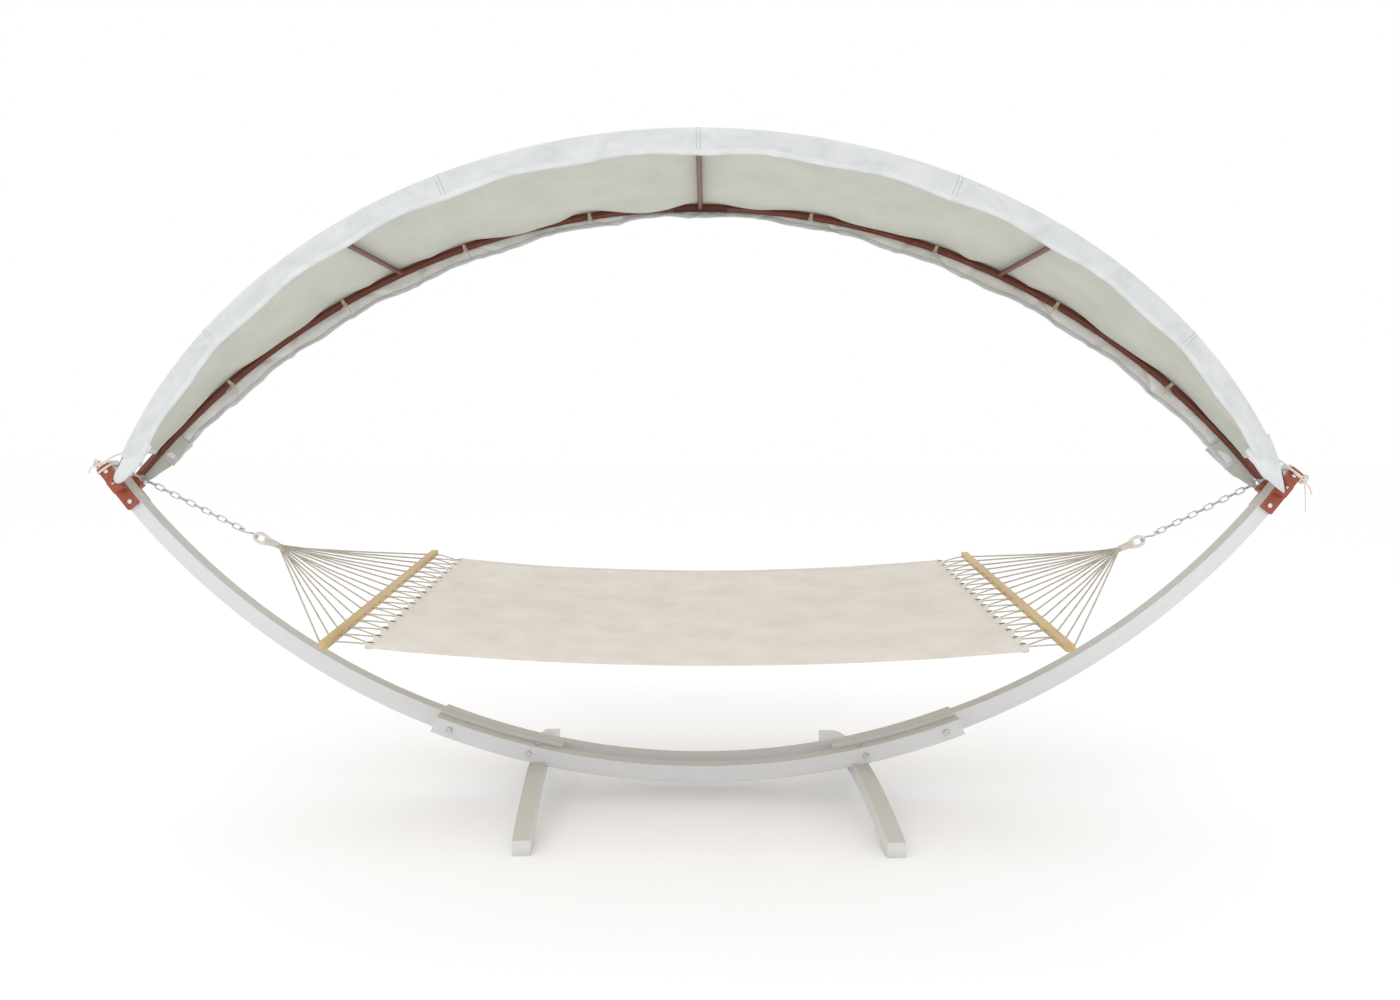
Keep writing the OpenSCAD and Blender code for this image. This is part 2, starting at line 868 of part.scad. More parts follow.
// Bed: a sagging sheet of canvas, as a closed shell of even thickness
function bed_point(u, v, top) = list_point([(2 * u - 1) * hem_x,
    (2 * v - 1) * bed_half,
    hem_z - bed_sag * (1 - pow(2 * u - 1, 2)) - bed_dish * (1 - pow(2 * v - 1, 2)) * sin(180 * u)
        + (top ? 0 : -bed_t)]);
module hammock_bed() {
    across = bed_cells + 1;
    layer = (bed_steps + 1) * across;
    points = [for (t = [true, false], i = [0 : bed_steps], k = [0 : bed_cells])
        bed_point(i / bed_steps, k / bed_cells, t)];
    top = [for (i = [0 : bed_steps - 1], k = [0 : bed_cells - 1])
        [i * across + k, i * across + k + 1, (i + 1) * across + k + 1, (i + 1) * across + k]];
    under = [for (f = top) [for (j = [3 : -1 : 0]) f[j] + layer]];
    side_k = [for (i = [0 : bed_steps - 1], k = [0, bed_cells])
        let (a = i * across + k, b = (i + 1) * across + k)
        k == 0 ? [a, b, b + layer, a + layer] : [b, a, a + layer, b + layer]];
    side_i = [for (k = [0 : bed_cells - 1], i = [0, bed_steps])
        let (a = i * across + k, b = i * across + k + 1)
        i == 0 ? [b, a, a + layer, b + layer] : [a, b, b + layer, a + layer]];
    color("linen")
        polyhedron(points = points, faces = concat(top, under, side_k, side_i), convexity = 6);
}

// Frame of a rib's plane: local Z up the rise, local Y across the rib
module rib_plane(y) {
    translate([0, y * rib_foot_y, rib_foot_z])
        rotate([-y * rib_lean, 0, 0])
            translate([0, 0, rib_centre])
                children();
}

module shoe_screw_bore(y, d) {
    h = rib_out(shoe_screw_angle);
    translate([h[0], 0, rib_world_z(h[1])])
        y_rod(d, y < 0 ? -pack_t : plate_face_y - plate_t * 0.7,
            y < 0 ? -plate_face_y + plate_t * 0.7 : pack_t);
}

module cross_screws(y, d, y_in, y_out) {
    for (a = [-cross_angle, 0, cross_angle])
        translate([rib_out(a)[0], 0, rib_world_z(rib_out(a)[1])])
            y_rod(d, y < 0 ? -y_out - rib_world_y(rib_out(a)[1]) : y_in + rib_world_y(rib_out(a)[1]),
                y < 0 ? -y_in - rib_world_y(rib_out(a)[1]) : y_out + rib_world_y(rib_out(a)[1]));
}

module splice_screws(d, r0, r1) {
    for (a = [-0.7, -0.3, 0.3, 0.7])
        rotate([0, a * splice_angle, 0])
            translate([0, 0, r0])
                cylinder(d = d, h = r1 - r0, $fn = 24);
}

module rib_half(y, s) {
    color("saddlebrown")
        difference() {
            rib_plane(y)
                side(s)
                    crown_bar(rib_r, rib_h, rib_w, 0.01, rib_angle, rib_edge_r);
            side(s)
                shoe_screw_bore(y, shoe_screw_d + 2 * bolt_gap);
            cross_screws(y, cross_screw_d + 2 * bolt_gap, -40, 40);
            cross_screws(y, 10, 4, 60);
            rib_plane(y)
                splice_screws(splice_screw_d, rib_r - rib_h, rib_r - rib_h / 2 + splice_screw_len);
        }
}

module front_rib_left() {
    rib_half(-1, -1);
}

module front_rib_right() {
    rib_half(-1, 1);
}

module rear_rib_left() {
    rib_half(1, -1);
}

module rear_rib_right() {
    rib_half(1, 1);
}

// Shoes on the tip plates, with a mortise for each rib's end
module rib_shoes() {
    color("sienna")
        for (s = [-1, 1], y = [-1, 1])
            side(s)
                difference() {
                    at_angle(plate_angle)
                        translate([0, y * (plate_face_y + shoe_t / 2), shoe_in - plate_r])
                            rotate([90, 0, 0])
                                linear_extrude(height = shoe_t, center = true)
                                    rounded_rect(shoe_len, shoe_w, 3);
                    rib_plane(y)
                        crown_bar(rib_r, rib_h + 2 * seat_gap, rib_w + 2 * seat_gap,
                            rib_angle - 6, rib_angle + 0.01, rib_edge_r);
                    shoe_screw_bore(y, shoe_screw_d + 2 * bolt_gap);
                }
}

module rib_shoe_screws() {
    h = rib_out(shoe_screw_angle);
    y_out = plate_face_y + shoe_t;
    y_in = plate_face_y - plate_t * 0.6;
    color("silver")
        for (s = [-1, 1], y = [-1, 1])
            side(s)
                translate([h[0], 0, rib_world_z(h[1])])
                    union() {
                        y_rod(shoe_screw_d, y < 0 ? -y_out - eps : y_in, y < 0 ? -y_in : y_out + eps);
                        y_rod(2 * shoe_screw_d, y < 0 ? -y_out - 2 : y_out, y < 0 ? -y_out : y_out + 2);
                    }
}

// Steel strips that join the rib halves at the crown
module rib_splices() {
    color("silver")
        for (y = [-1, 1])
            rib_plane(y)
                difference() {
                    crown_bar(rib_r - (rib_h + splice_t) / 2, splice_t, splice_w,
                        -splice_angle, splice_angle, 1);
                    splice_screws(splice_screw_d + 2 * bolt_gap, rib_r - rib_h, rib_r);
                }
}

module rib_splice_screws() {
    base = rib_r - rib_h / 2 - splice_t;
    color("silver")
        for (y = [-1, 1])
            rib_plane(y)
                union() {
                    splice_screws(splice_screw_d, base - eps, base + splice_t + splice_screw_len - 1);
                    splice_screws(2 * splice_screw_d, base - 1.5, base);
                }
}

// Cross bars between the ribs, cut to the ribs' leaning sides
module cross_bar(a) {
    h = rib_out(a);
    half = rib_world_y(h[1]);
    color("saddlebrown")
        difference() {
            translate([h[0], 0, rib_world_z(h[1])])
                y_rod(cross_d, -half, half);
            for (y = [-1, 1])
                rib_plane(y)
                    translate([h[0], 0, rib_r * cos(a)])
                        translate([-cross_d, y < 0 ? -4 * rib_w : -rib_w / 2, -2 * rib_w])
                            cube([2 * cross_d, 4.5 * rib_w, 4 * rib_w]);
            for (y = [-1, 1])
                cross_screws(y, cross_screw_d, -cross_screw_in - rib_w / 2, 20);
        }
}

module left_cross_bar() {
    cross_bar(-cross_angle);
}

module centre_cross_bar() {
    cross_bar(0);
}

module right_cross_bar() {
    cross_bar(cross_angle);
}

module cross_bar_screws() {
    color("silver")
        for (y = [-1, 1]) {
            cross_screws(y, cross_screw_d, -cross_screw_in - rib_w / 2 + 2, 4 + eps);
            cross_screws(y, 2 * cross_screw_d, 4, 7);
        }
}

// Cover: hem, outer corner and inner corner at each rib, with the top between them
function scallop(a, depth) = depth * pow(sin(180 * a / scallop_angle), 2);
function drop_at(a, y) = y < 0
    ? front_drop - scallop(a, front_scallop)
    : rear_drop * (0.55 + 0.45 * pow(sin(min(90, abs(a) * 3)), 2)) - scallop(a, rear_scallop);
function cover_point(a, y, r, n) = let (
    h = r * cos(a) + rib_centre)
    [r * sin(a), y * (rib_foot_y + h * sin(rib_lean) + n * cos(rib_lean)),
        rib_foot_z + h * cos(rib_lean) - n * sin(rib_lean)];
function cover_ring(a, t) = let (
    r_top = rib_r + rib_h / 2 + cloth_gap + t,
    n_out = rib_w / 2 + cloth_gap + t,
    front = [cover_point(a, -1, r_top - t - drop_at(a, -1), n_out),
        cover_point(a, -1, r_top, n_out),
        cover_point(a, -1, r_top, -rib_w / 2)],
    rear = [cover_point(a, 1, r_top, -rib_w / 2),
        cover_point(a, 1, r_top, n_out),
        cover_point(a, 1, r_top - t - drop_at(a, 1), n_out)])
    concat(front, rear);

module canopy_cover() {
    rows = [for (i = [0 : cover_steps])
        let (a = cover_angle * (2 * i / cover_steps - 1), inner = cover_ring(a, 0))
        concat(cover_ring(a, cover_t), [for (j = [len(inner) - 1 : -1 : 0]) inner[j]])];
    n = len(rows[0]);
    points = [for (row = rows, p = row) p];
    walls = [for (i = [0 : cover_steps - 1], k = [0 : n - 1])
        [i * n + k, (i + 1) * n + k, (i + 1) * n + (k + 1) % n, i * n + (k + 1) % n]];
    pairs = n / 2 - 1;
    caps = [for (k = [0 : pairs - 1], e = [0, cover_steps])
        let (f = [e * n + k, e * n + k + 1, e * n + n - 2 - k, e * n + n - 1 - k])
        e == 0 ? f : [f[3], f[2], f[1], f[0]]];
    color("whitesmoke")
        polyhedron(points = points, faces = concat(walls, caps), convexity = 8);
}

// Cord bands that tie the cover's corners round the arm tips
module tie_band(s) {
    across = arm_t + 2 * plate_t + 2 * cloth_gap;
    deep = arm_tip_w + 2 * cloth_gap + 4;
    color("antiquewhite")
        side(s)
            at_angle(plate_angle)
                translate([plate_len / 2 - tie_back, 0, -plate_r])
                    rotate([0, 90, 0])
                        linear_extrude(height = tie_w, center = true)
                            difference() {
                                rounded_rect(deep + 2 * tie_t, across + 2 * tie_t, 4);
                                rounded_rect(deep, across, 2);
                            }
}

module left_tie_band() {
    tie_band(-1);
}

module right_tie_band() {
    tie_band(1);
}

front_base_beam();
rear_base_beam();
left_arm();
right_arm();
left_foot();
right_foot();
arm_bolts();
arm_bolt_washers();
arm_bolt_nuts();
foot_bolts();
foot_bolt_washers();
foot_bolt_nuts();
left_front_tip_plate();
left_rear_tip_plate();
right_front_tip_plate();
right_rear_tip_plate();
tip_bolts();
tip_bolt_nuts();
left_eye_bolt();
right_eye_bolt();
eye_bolt_washers();
eye_bolt_nuts();
left_chain();
right_chain();
left_hook();
right_hook();
left_rope_ring();
right_rope_ring();
left_fan_cords();
right_fan_cords();
left_spreader_bar();
right_spreader_bar();
left_hem_loops();
right_hem_loops();
hammock_bed();
front_rib_left();
front_rib_right();
rear_rib_left();
rear_rib_right();
rib_shoes();
rib_shoe_screws();
rib_splices();
rib_splice_screws();
left_cross_bar();
centre_cross_bar();
right_cross_bar();
cross_bar_screws();
canopy_cover();
left_tie_band();
right_tie_band();
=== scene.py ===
# A hammock on an arched wooden stand, with a fabric canopy.
# Sizes are in metres and repeat those of the CAD model.
import math

import bmesh
import bpy
from mathutils import Matrix, Vector, noise


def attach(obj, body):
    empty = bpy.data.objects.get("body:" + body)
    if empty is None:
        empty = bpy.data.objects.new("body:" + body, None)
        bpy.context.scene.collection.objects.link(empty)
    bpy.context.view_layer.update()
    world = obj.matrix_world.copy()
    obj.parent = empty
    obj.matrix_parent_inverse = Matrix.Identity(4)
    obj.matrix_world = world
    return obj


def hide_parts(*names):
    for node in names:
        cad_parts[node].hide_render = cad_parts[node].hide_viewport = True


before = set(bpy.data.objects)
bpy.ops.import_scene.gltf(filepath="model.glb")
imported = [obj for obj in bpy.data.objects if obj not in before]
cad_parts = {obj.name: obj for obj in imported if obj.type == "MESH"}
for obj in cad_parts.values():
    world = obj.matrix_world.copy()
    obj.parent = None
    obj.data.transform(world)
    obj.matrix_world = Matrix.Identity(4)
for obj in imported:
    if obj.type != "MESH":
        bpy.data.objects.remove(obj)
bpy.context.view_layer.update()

# Stand
ARC_R = 2.420
ARC_Z = 2.471
ARM_T = 0.060
ARM_TIP_W = 0.045
PLATE_T = 0.012
PLATE_LEN = 0.165
PLATE_ANGLE = math.radians(52.6)
PLATE_R = ARC_R - ARM_TIP_W / 2
PLATE_FACE_Y = ARM_T / 2 + PLATE_T
SHOE_T = 0.034
TIE_BACK = 0.012

# Ribs and cover
RIB_FOOT_SHIFT = 0.004
RIB_FOOT_X = PLATE_R * math.sin(PLATE_ANGLE) + RIB_FOOT_SHIFT * math.cos(PLATE_ANGLE)
RIB_FOOT_Y = PLATE_FACE_Y + 0.014
RIB_FOOT_Z = ARC_Z - PLATE_R * math.cos(PLATE_ANGLE) + RIB_FOOT_SHIFT * math.sin(PLATE_ANGLE)
RIB_RISE = 1.113
RIB_R = (RIB_FOOT_X ** 2 + RIB_RISE ** 2) / (2 * RIB_RISE)
RIB_CENTRE = RIB_RISE - RIB_R
RIB_ANGLE = math.asin(RIB_FOOT_X / RIB_R)
RIB_LEAN = math.radians(24.4)
RIB_H = 0.018
RIB_W = 0.024
CROSS_ANGLE = math.radians(29.6)
COVER_ANGLE = RIB_ANGLE - 0.126 / RIB_R
CLOTH_GAP = 0.0035
RIM_TOP = RIB_H / 2 + CLOTH_GAP
RIM_OUT = RIB_W / 2 + CLOTH_GAP
RIM = RIB_W + CLOTH_GAP + 0.001
FRONT_DROP = 0.070
REAR_DROP = 0.076
SCALLOP_ANGLE = math.radians(9.6)
FRONT_SCALLOP = 0.008
REAR_SCALLOP = 0.010
TIE_PLACES = (10.8, 23.2, 35.7, 48.3)
COVER_COLUMNS = 420
COVER_ROWS = 110
COVER_HEM_ROWS = 84
VALANCE_SHARE = 0.15

# Chain, ring and bed
EYE = Vector((1.88240, 0.0, 1.05897))
CHAIN_SLOPE = math.radians(27)
RING_START = 0.4596
RING_R = 0.020
RING_ROPE = 0.014
NECK_LEN = 0.050
NECK_D = 0.026
BAR_X = 1.031
BAR_Z = 0.667
BAR_W = 0.028
BAR_LEN = 1.274
BED_LIST = math.radians(5.5)
CORD_COUNT = 17
CORD_D = 0.005
CORD_MARGIN = 0.034
CORD_PITCH = (BAR_LEN - 2 * CORD_MARGIN) / (CORD_COUNT - 1)
LOOP_LEN = 0.096
HEM_X = BAR_X - LOOP_LEN
HEM_Z = BAR_Z - 0.012
BED_HALF = BAR_LEN / 2 - 0.026
BED_SAG = 0.046
BED_DISH = 0.014
BED_MID = 0.003
BED_COLUMNS = 260

RING = Vector((EYE.x - RING_START * math.cos(CHAIN_SLOPE), 0.0,
               EYE.z - RING_START * math.sin(CHAIN_SLOPE)))
RING_SLOPE = math.atan2(RING.z - BAR_Z, RING.x - BAR_X)
NECK_START = 2 * RING_R - 0.002
SIDES = {"left": -1, "right": 1}


# ---------------------------------------------------------------- camera and light
def aim_camera():
    """The camera stands in front of the middle, at a standing child's eye height."""
    yaw, pitch, roll = -0.0054, 0.0586, 0.0033
    forward = Vector((math.sin(yaw) * math.cos(pitch), math.cos(yaw) * math.cos(pitch),
                      -math.sin(pitch)))
    right = Vector((math.cos(yaw), -math.sin(yaw), 0))
    up = right.cross(forward)
    turned = Matrix.Rotation(-roll, 3, forward)
    right, up = turned @ right, turned @ up
    lens = bpy.data.cameras.new("camera")
    lens.sensor_width = 36
    lens.lens = 36 * 1111.7 / 1400
    camera = bpy.data.objects.new("camera", lens)
    camera.matrix_world = Matrix((right, up, -forward)).transposed().to_4x4()
    camera.location = (0.0251, -3.6734, 1.1902)
    bpy.context.scene.collection.objects.link(camera)
    bpy.context.scene.camera = camera


def add_light(name, place, target, size, power):
    lamp = bpy.data.lights.new(name, "AREA")
    lamp.shape = "RECTANGLE"
    lamp.size, lamp.size_y = size
    lamp.energy = power
    thing = bpy.data.objects.new(name, lamp)
    thing.location = place
    aim = Vector(target) - Vector(place)
    thing.rotation_euler = aim.to_track_quat("-Z", "Y").to_euler()
    bpy.context.scene.collection.objects.link(thing)


aim_camera()
add_light("key", (-3.6, -5.2, 4.6), (0, 0, 1.1), (4.0, 3.0), 62)
add_light("fill", (4.6, -4.6, 2.6), (0, 0, 1.0), (4.0, 3.0), 18)
add_light("rear", (0.5, 5.5, 4.2), (0, 0, 1.2), (5.0, 3.0), 25)


# ---------------------------------------------------------------- node and colour helpers
# Sockets of a Mix node when it mixes colours
MIX_A, MIX_B, MIX_OUT = 6, 7, 2


def linear(hex_text):
    """sRGB hex to linear RGBA."""
    parts = [int(hex_text[i:i + 2], 16) / 255 for i in (1, 3, 5)]
    return [c / 12.92 if c <= 0.04045 else ((c + 0.055) / 1.055) ** 2.4 for c in parts] + [1.0]


def connect(tree, node, inputs):
    """Sets a node's inputs. Each is a value, a colour as hex text, or another node's output."""
    for key, value in inputs.items():
        if isinstance(value, bpy.types.NodeSocket):
            tree.links.new(value, node.inputs[key])
        else:
            node.inputs[key].default_value = linear(value) if isinstance(value, str) else value


def add(tree, kind, inputs, out=0, **properties):
    """Adds a node and gives back one of its outputs."""
    node = tree.nodes.new("ShaderNode" + kind)
    for key, value in properties.items():
        setattr(node, key, value)
    connect(tree, node, inputs)
    return node.outputs[out]


def new_material(name, colour, roughness, metallic=0.0, sheen=0.0):
    made = bpy.data.materials.new(name)
    made.use_nodes = True
    shader = made.node_tree.nodes["Principled BSDF"]
    connect(made.node_tree, shader, {"Base Color": colour, "Roughness": roughness,
                                     "Metallic": metallic, "Sheen Weight": sheen})
    return made, made.node_tree, shader


def bent_grain(tree, centre_z, radius, stretch):
    """Coordinates that follow a bar bent about the Y axis: along it, across it and through it."""
    place = add(tree, "TexCoord", {}, out="Object")
    x, y, z = (add(tree, "SeparateXYZ", {"Vector": place}, out=axis) for axis in "XYZ")
    rise = add(tree, "Math", {0: z, 1: centre_z}, operation="SUBTRACT")
    angle = add(tree, "Math", {0: rise, 1: x}, operation="ARCTAN2")
    along = add(tree, "Math", {0: angle, 1: radius / stretch}, operation="MULTIPLY")
    flat = add(tree, "CombineXYZ", {"X": x, "Z": rise})
    out = add(tree, "VectorMath", {0: flat}, out="Value", operation="LENGTH")
    grain = add(tree, "CombineXYZ", {"X": along, "Y": out, "Z": y})
    inward = add(tree, "VectorMath", {0: flat}, operation="NORMALIZE")
    return grain, inward


# ---------------------------------------------------------------- materials
def make_painted_wood():
    """White satin paint brushed on laminated larch: even and smooth, a trace of the grain
    and brush strokes under it, and painted warm grey shade on the faces that look upwards."""
    made, tree, shader = new_material("white_painted_wood", "#e2e2e3", 0.46)
    grain, inward = bent_grain(tree, ARC_Z, ARC_R, 14)
    # brush strokes and grain lines about 5 mm apart, drawn out along the bar
    strokes = add(tree, "TexNoise", {"Vector": grain, "Scale": 190, "Detail": 4, "Roughness": 0.6})
    patches = add(tree, "TexNoise", {"Vector": grain, "Scale": 5, "Detail": 3})
    lines = add(tree, "MapRange", {"Value": strokes, "From Min": 0.3, "From Max": 0.7})
    clouds = add(tree, "MapRange", {"Value": patches, "From Min": 0.35, "From Max": 0.75})
    paint = add(tree, "Mix", {"Factor": lines, MIX_A: "#d6d6d7", MIX_B: "#dfdfdf"},
                out=MIX_OUT, data_type="RGBA")
    paint = add(tree, "Mix", {"Factor": clouds, MIX_A: paint, MIX_B: "#d0d1d3"},
                out=MIX_OUT, data_type="RGBA")
    # painted shade: the faces that look towards the arc's centre, the arms' tops, are tinted warm
    # grey
    normal = add(tree, "NewGeometry", {}, out="Normal")
    facing = add(tree, "VectorMath", {0: normal, 1: inward}, out="Value", operation="DOT_PRODUCT")
    top_face_shade = add(tree, "MapRange", {"Value": facing, "From Min": -0.55, "From Max": -0.9})
    paint = add(tree, "Mix", {"Factor": top_face_shade, MIX_A: paint, MIX_B: "#bdbbb2"},
                out=MIX_OUT, data_type="RGBA")
    rough = add(tree, "MapRange", {"Value": strokes, "To Min": 0.38, "To Max": 0.56})
    relief = add(tree, "Bump", {"Height": strokes, "Distance": 0.0004, "Strength": 0.5})
    connect(tree, shader, {"Base Color": paint, "Roughness": rough, "Normal": relief})
    return made


def make_foot_paint():
    """The same paint on the straight feet, with the grain along them."""
    made, tree, shader = new_material("white_painted_wood_feet", "#dededb", 0.48)
    place = add(tree, "TexCoord", {}, out="Object")
    # strokes about 5 mm apart, drawn out along Y
    grain = add(tree, "Mapping", {"Vector": place, "Scale": (1, 0.07, 1)})
    strokes = add(tree, "TexNoise", {"Vector": grain, "Scale": 190, "Detail": 4})
    lines = add(tree, "MapRange", {"Value": strokes, "From Min": 0.3, "From Max": 0.7})
    paint = add(tree, "Mix", {"Factor": lines, MIX_A: "#cdcecd", MIX_B: "#d9d9d7"},
                out=MIX_OUT, data_type="RGBA")
    height = add(tree, "SeparateXYZ", {"Vector": place}, out="Z")
    # darker in the lowest 20 mm
    low = add(tree, "MapRange", {"Value": height, "From Min": 0.022, "From Max": 0.0})
    paint = add(tree, "Mix", {"Factor": low, MIX_A: paint, MIX_B: "#c9c7bf"},
                out=MIX_OUT, data_type="RGBA")
    # painted shade: the faces that look upwards are tinted warm grey
    normal = add(tree, "NewGeometry", {}, out="Normal")
    upward = add(tree, "SeparateXYZ", {"Vector": normal}, out="Z")
    top_face_shade = add(tree, "MapRange", {"Value": upward, "From Min": 0.55, "From Max": 0.9})
    paint = add(tree, "Mix", {"Factor": top_face_shade, MIX_A: paint, MIX_B: "#c6c4bc"},
                out=MIX_OUT, data_type="RGBA")
    relief = add(tree, "Bump", {"Height": strokes, "Distance": 0.0004, "Strength": 0.5})
    connect(tree, shader, {"Base Color": paint, "Normal": relief})
    return made


def make_stained_wood(name, tones, pore):
    """Red-brown stained hardwood under a thin oil finish: dark pores and streaks drawn out
    along the grain, slightly glossy."""
    made, tree, shader = new_material(name, tones[0], 0.42)
    grain, _ = bent_grain(tree, RIB_FOOT_Z + RIB_CENTRE * math.cos(RIB_LEAN), RIB_R, 12)
    # growth streaks about 4 mm apart
    streaks = add(tree, "TexNoise", {"Vector": grain, "Scale": 240, "Detail": 6, "Roughness": 0.65})
    pores = add(tree, "TexNoise", {"Vector": grain, "Scale": 900, "Detail": 2})
    bands = add(tree, "MapRange", {"Value": streaks, "From Min": 0.3, "From Max": 0.72})
    specks = add(tree, "MapRange", {"Value": pores, "From Min": 0.6, "From Max": 0.75})
    wood = add(tree, "Mix", {"Factor": bands, MIX_A: tones[0], MIX_B: tones[1]},
               out=MIX_OUT, data_type="RGBA")
    wood = add(tree, "Mix", {"Factor": specks, MIX_A: wood, MIX_B: pore},
               out=MIX_OUT, data_type="RGBA")
    rough = add(tree, "MapRange", {"Value": streaks, "To Min": 0.34, "To Max": 0.55})
    relief = add(tree, "Bump", {"Height": streaks, "Distance": 0.0005, "Strength": 0.6})
    connect(tree, shader, {"Base Color": wood, "Roughness": rough, "Normal": relief})
    return made


def make_bar_wood():
    """Spruce-like light hardwood with clear oil: honey-coloured, with growth lines along the
    bar and a satin surface."""
    made, tree, shader = new_material("oiled_light_wood", "#ccb07c", 0.5)
    place = add(tree, "TexCoord", {}, out="Object")
    grain = add(tree, "Mapping", {"Vector": place, "Scale": (1, 0.06, 1)})
    # growth lines about 6 mm apart, wandering slowly along the bar
    lines = add(tree, "TexWave", {"Vector": grain, "Scale": 52, "Distortion": 5.5, "Detail": 3,
                                  "Detail Scale": 1.4}, out="Fac",
                wave_type="BANDS", bands_direction="X")
    tone = add(tree, "TexNoise", {"Vector": grain, "Scale": 26, "Detail": 4})
    clouds = add(tree, "MapRange", {"Value": tone, "From Min": 0.45, "From Max": 0.8})
    wood = add(tree, "Mix", {"Factor": lines, MIX_A: "#c0a06a", MIX_B: "#d6bd8c"},
               out=MIX_OUT, data_type="RGBA")
    wood = add(tree, "Mix", {"Factor": clouds, MIX_A: wood, MIX_B: "#b39158"},
               out=MIX_OUT, data_type="RGBA")
    rough = add(tree, "MapRange", {"Value": lines, "To Min": 0.42, "To Max": 0.58})
    relief = add(tree, "Bump", {"Height": lines, "Distance": 0.0003, "Strength": 0.5})
    connect(tree, shader, {"Base Color": wood, "Roughness": rough, "Normal": relief})
    return made


def make_zinc_steel(name, colour, roughness):
    """Zinc-plated steel: bright grey, with cloudy plating and fine scratches."""
    made, tree, shader = new_material(name, colour, roughness, metallic=1.0)
    place = add(tree, "TexCoord", {}, out="Object")
    # plating clouds about 8 mm across
    clouds = add(tree, "TexNoise", {"Vector": place, "Scale": 120, "Detail": 5})
    spread = add(tree, "MapRange", {"Value": clouds, "From Min": 0.3, "From Max": 0.7})
    grey = add(tree, "Mix", {"Factor": spread, MIX_A: colour, MIX_B: "#dcdedf"},
               out=MIX_OUT, data_type="RGBA")
    rough = add(tree, "MapRange", {"Value": clouds, "To Min": roughness - 0.1,
                                   "To Max": roughness + 0.12})
    relief = add(tree, "Bump", {"Height": clouds, "Distance": 0.0002, "Strength": 0.4})
    connect(tree, shader, {"Base Color": grey, "Roughness": rough, "Normal": relief})
    return made


def make_cloth(name, light, dark, roughness, sheen, relief, clear=0.0, lit=None):
    """A plain weave on the piece's own UV map, which is in metres: crossing threads, slubs
    and slow changes of tone from handling and creases."""
    made, tree, shader = new_material(name, light, roughness, sheen=sheen)
    place = add(tree, "TexCoord", {}, out="UV")
    # a wave texture repeats every 2 pi / 20 of its coordinate
    repeat = math.pi / 10 / THREAD_SPACING
    threads = [add(tree, "TexWave", {"Vector": place, "Scale": repeat, "Distortion": 0.6,
                                     "Detail": 1}, out="Fac", bands_direction=direction)
               for direction in "XY"]
    weave = add(tree, "Math", {0: threads[0], 1: threads[1]}, operation="MAXIMUM")
    slow = add(tree, "TexNoise", {"Vector": place, "Scale": 7, "Detail": 6, "Roughness": 0.6})
    slubs = add(tree, "TexNoise", {"Vector": place, "Scale": 160, "Detail": 3})
    handled = add(tree, "MapRange", {"Value": slow, "From Min": 0.32, "From Max": 0.7})
    tone = add(tree, "Mix", {"Factor": handled, MIX_A: light, MIX_B: dark},
               out=MIX_OUT, data_type="RGBA")
    shade = add(tree, "Math", {0: weave, 1: 0.22}, operation="MULTIPLY")
    tone = add(tree, "Mix", {"Factor": shade, MIX_A: tone, MIX_B: dark},
               out=MIX_OUT, data_type="RGBA")
    if lit:
        # painted light: the hanging rear edge is made lighter to stand for light shining through
        # it; its rows lie highest on the map
        first, last, bright = lit
        rows = add(tree, "SeparateXYZ", {"Vector": place}, out="Y")
        hanging = add(tree, "MapRange", {"Value": rows, "From Min": first, "From Max": last})
        tone = add(tree, "Mix", {"Factor": hanging, MIX_A: tone, MIX_B: bright},
                   out=MIX_OUT, data_type="RGBA")
    height = add(tree, "Math", {0: weave, 1: slubs}, operation="ADD")
    bump = add(tree, "Bump", {"Height": height, "Distance": relief, "Strength": 0.7})
    connect(tree, shader, {"Base Color": tone, "Normal": bump, "Subsurface Weight": clear,
                           "Subsurface Radius": (0.01, 0.01, 0.009)})
    return made


def make_cord(name, light, dark):
    """Laid cotton cord: matt, cream, each strand shaded towards its edges and with fine
    fibres across it. The strands are in the mesh."""
    made, tree, shader = new_material(name, light, 0.92, sheen=0.25)
    place = add(tree, "TexCoord", {}, out="Object")
    # fibres about 0.7 mm apart
    fibres = add(tree, "TexNoise", {"Vector": place, "Scale": 1400, "Detail": 2})
    # slow blotches of the darker tone: dirt on the pale cords, and more painted shade on the darker
    # copy
    dirt_and_shade = add(tree, "TexNoise", {"Vector": place, "Scale": 30, "Detail": 4})
    spread = add(tree, "MapRange", {"Value": fibres, "From Min": 0.3, "From Max": 0.7})
    wear_and_shade = add(tree, "MapRange", {"Value": dirt_and_shade, "From Min": 0.5, "From Max": 0.85})
    tone = add(tree, "Mix", {"Factor": spread, MIX_A: dark, MIX_B: light},
               out=MIX_OUT, data_type="RGBA")
    tone = add(tree, "Mix", {"Factor": wear_and_shade, MIX_A: tone, MIX_B: dark},
               out=MIX_OUT, data_type="RGBA")
    relief = add(tree, "Bump", {"Height": fibres, "Distance": 0.0004, "Strength": 0.6})
    connect(tree, shader, {"Base Color": tone, "Normal": relief})
    return made


PAINT = make_painted_wood()
FOOT_PAINT = make_foot_paint()
# tip plates and shoes, then the darker ribs and cross bars
STAINED = make_stained_wood("red_brown_stained_hardwood", ("#8a3f26", "#ab5536"), "#642b1b")
RIB_WOOD = make_stained_wood("dark_stained_rib_wood", ("#5c2a1c", "#7b3d29"), "#45201a")
BAR_WOOD = make_bar_wood()
ZINC = make_zinc_steel("zinc_plated_steel", "#a9acae", 0.36)
BRIGHT = make_zinc_steel("bright_stainless_steel", "#d3d5d6", 0.26)
# steel strips at the crown, painted to go with the ribs
DARK_STEEL = new_material("browned_steel_strip", "#4a2a20", 0.5, metallic=0.4)[0]
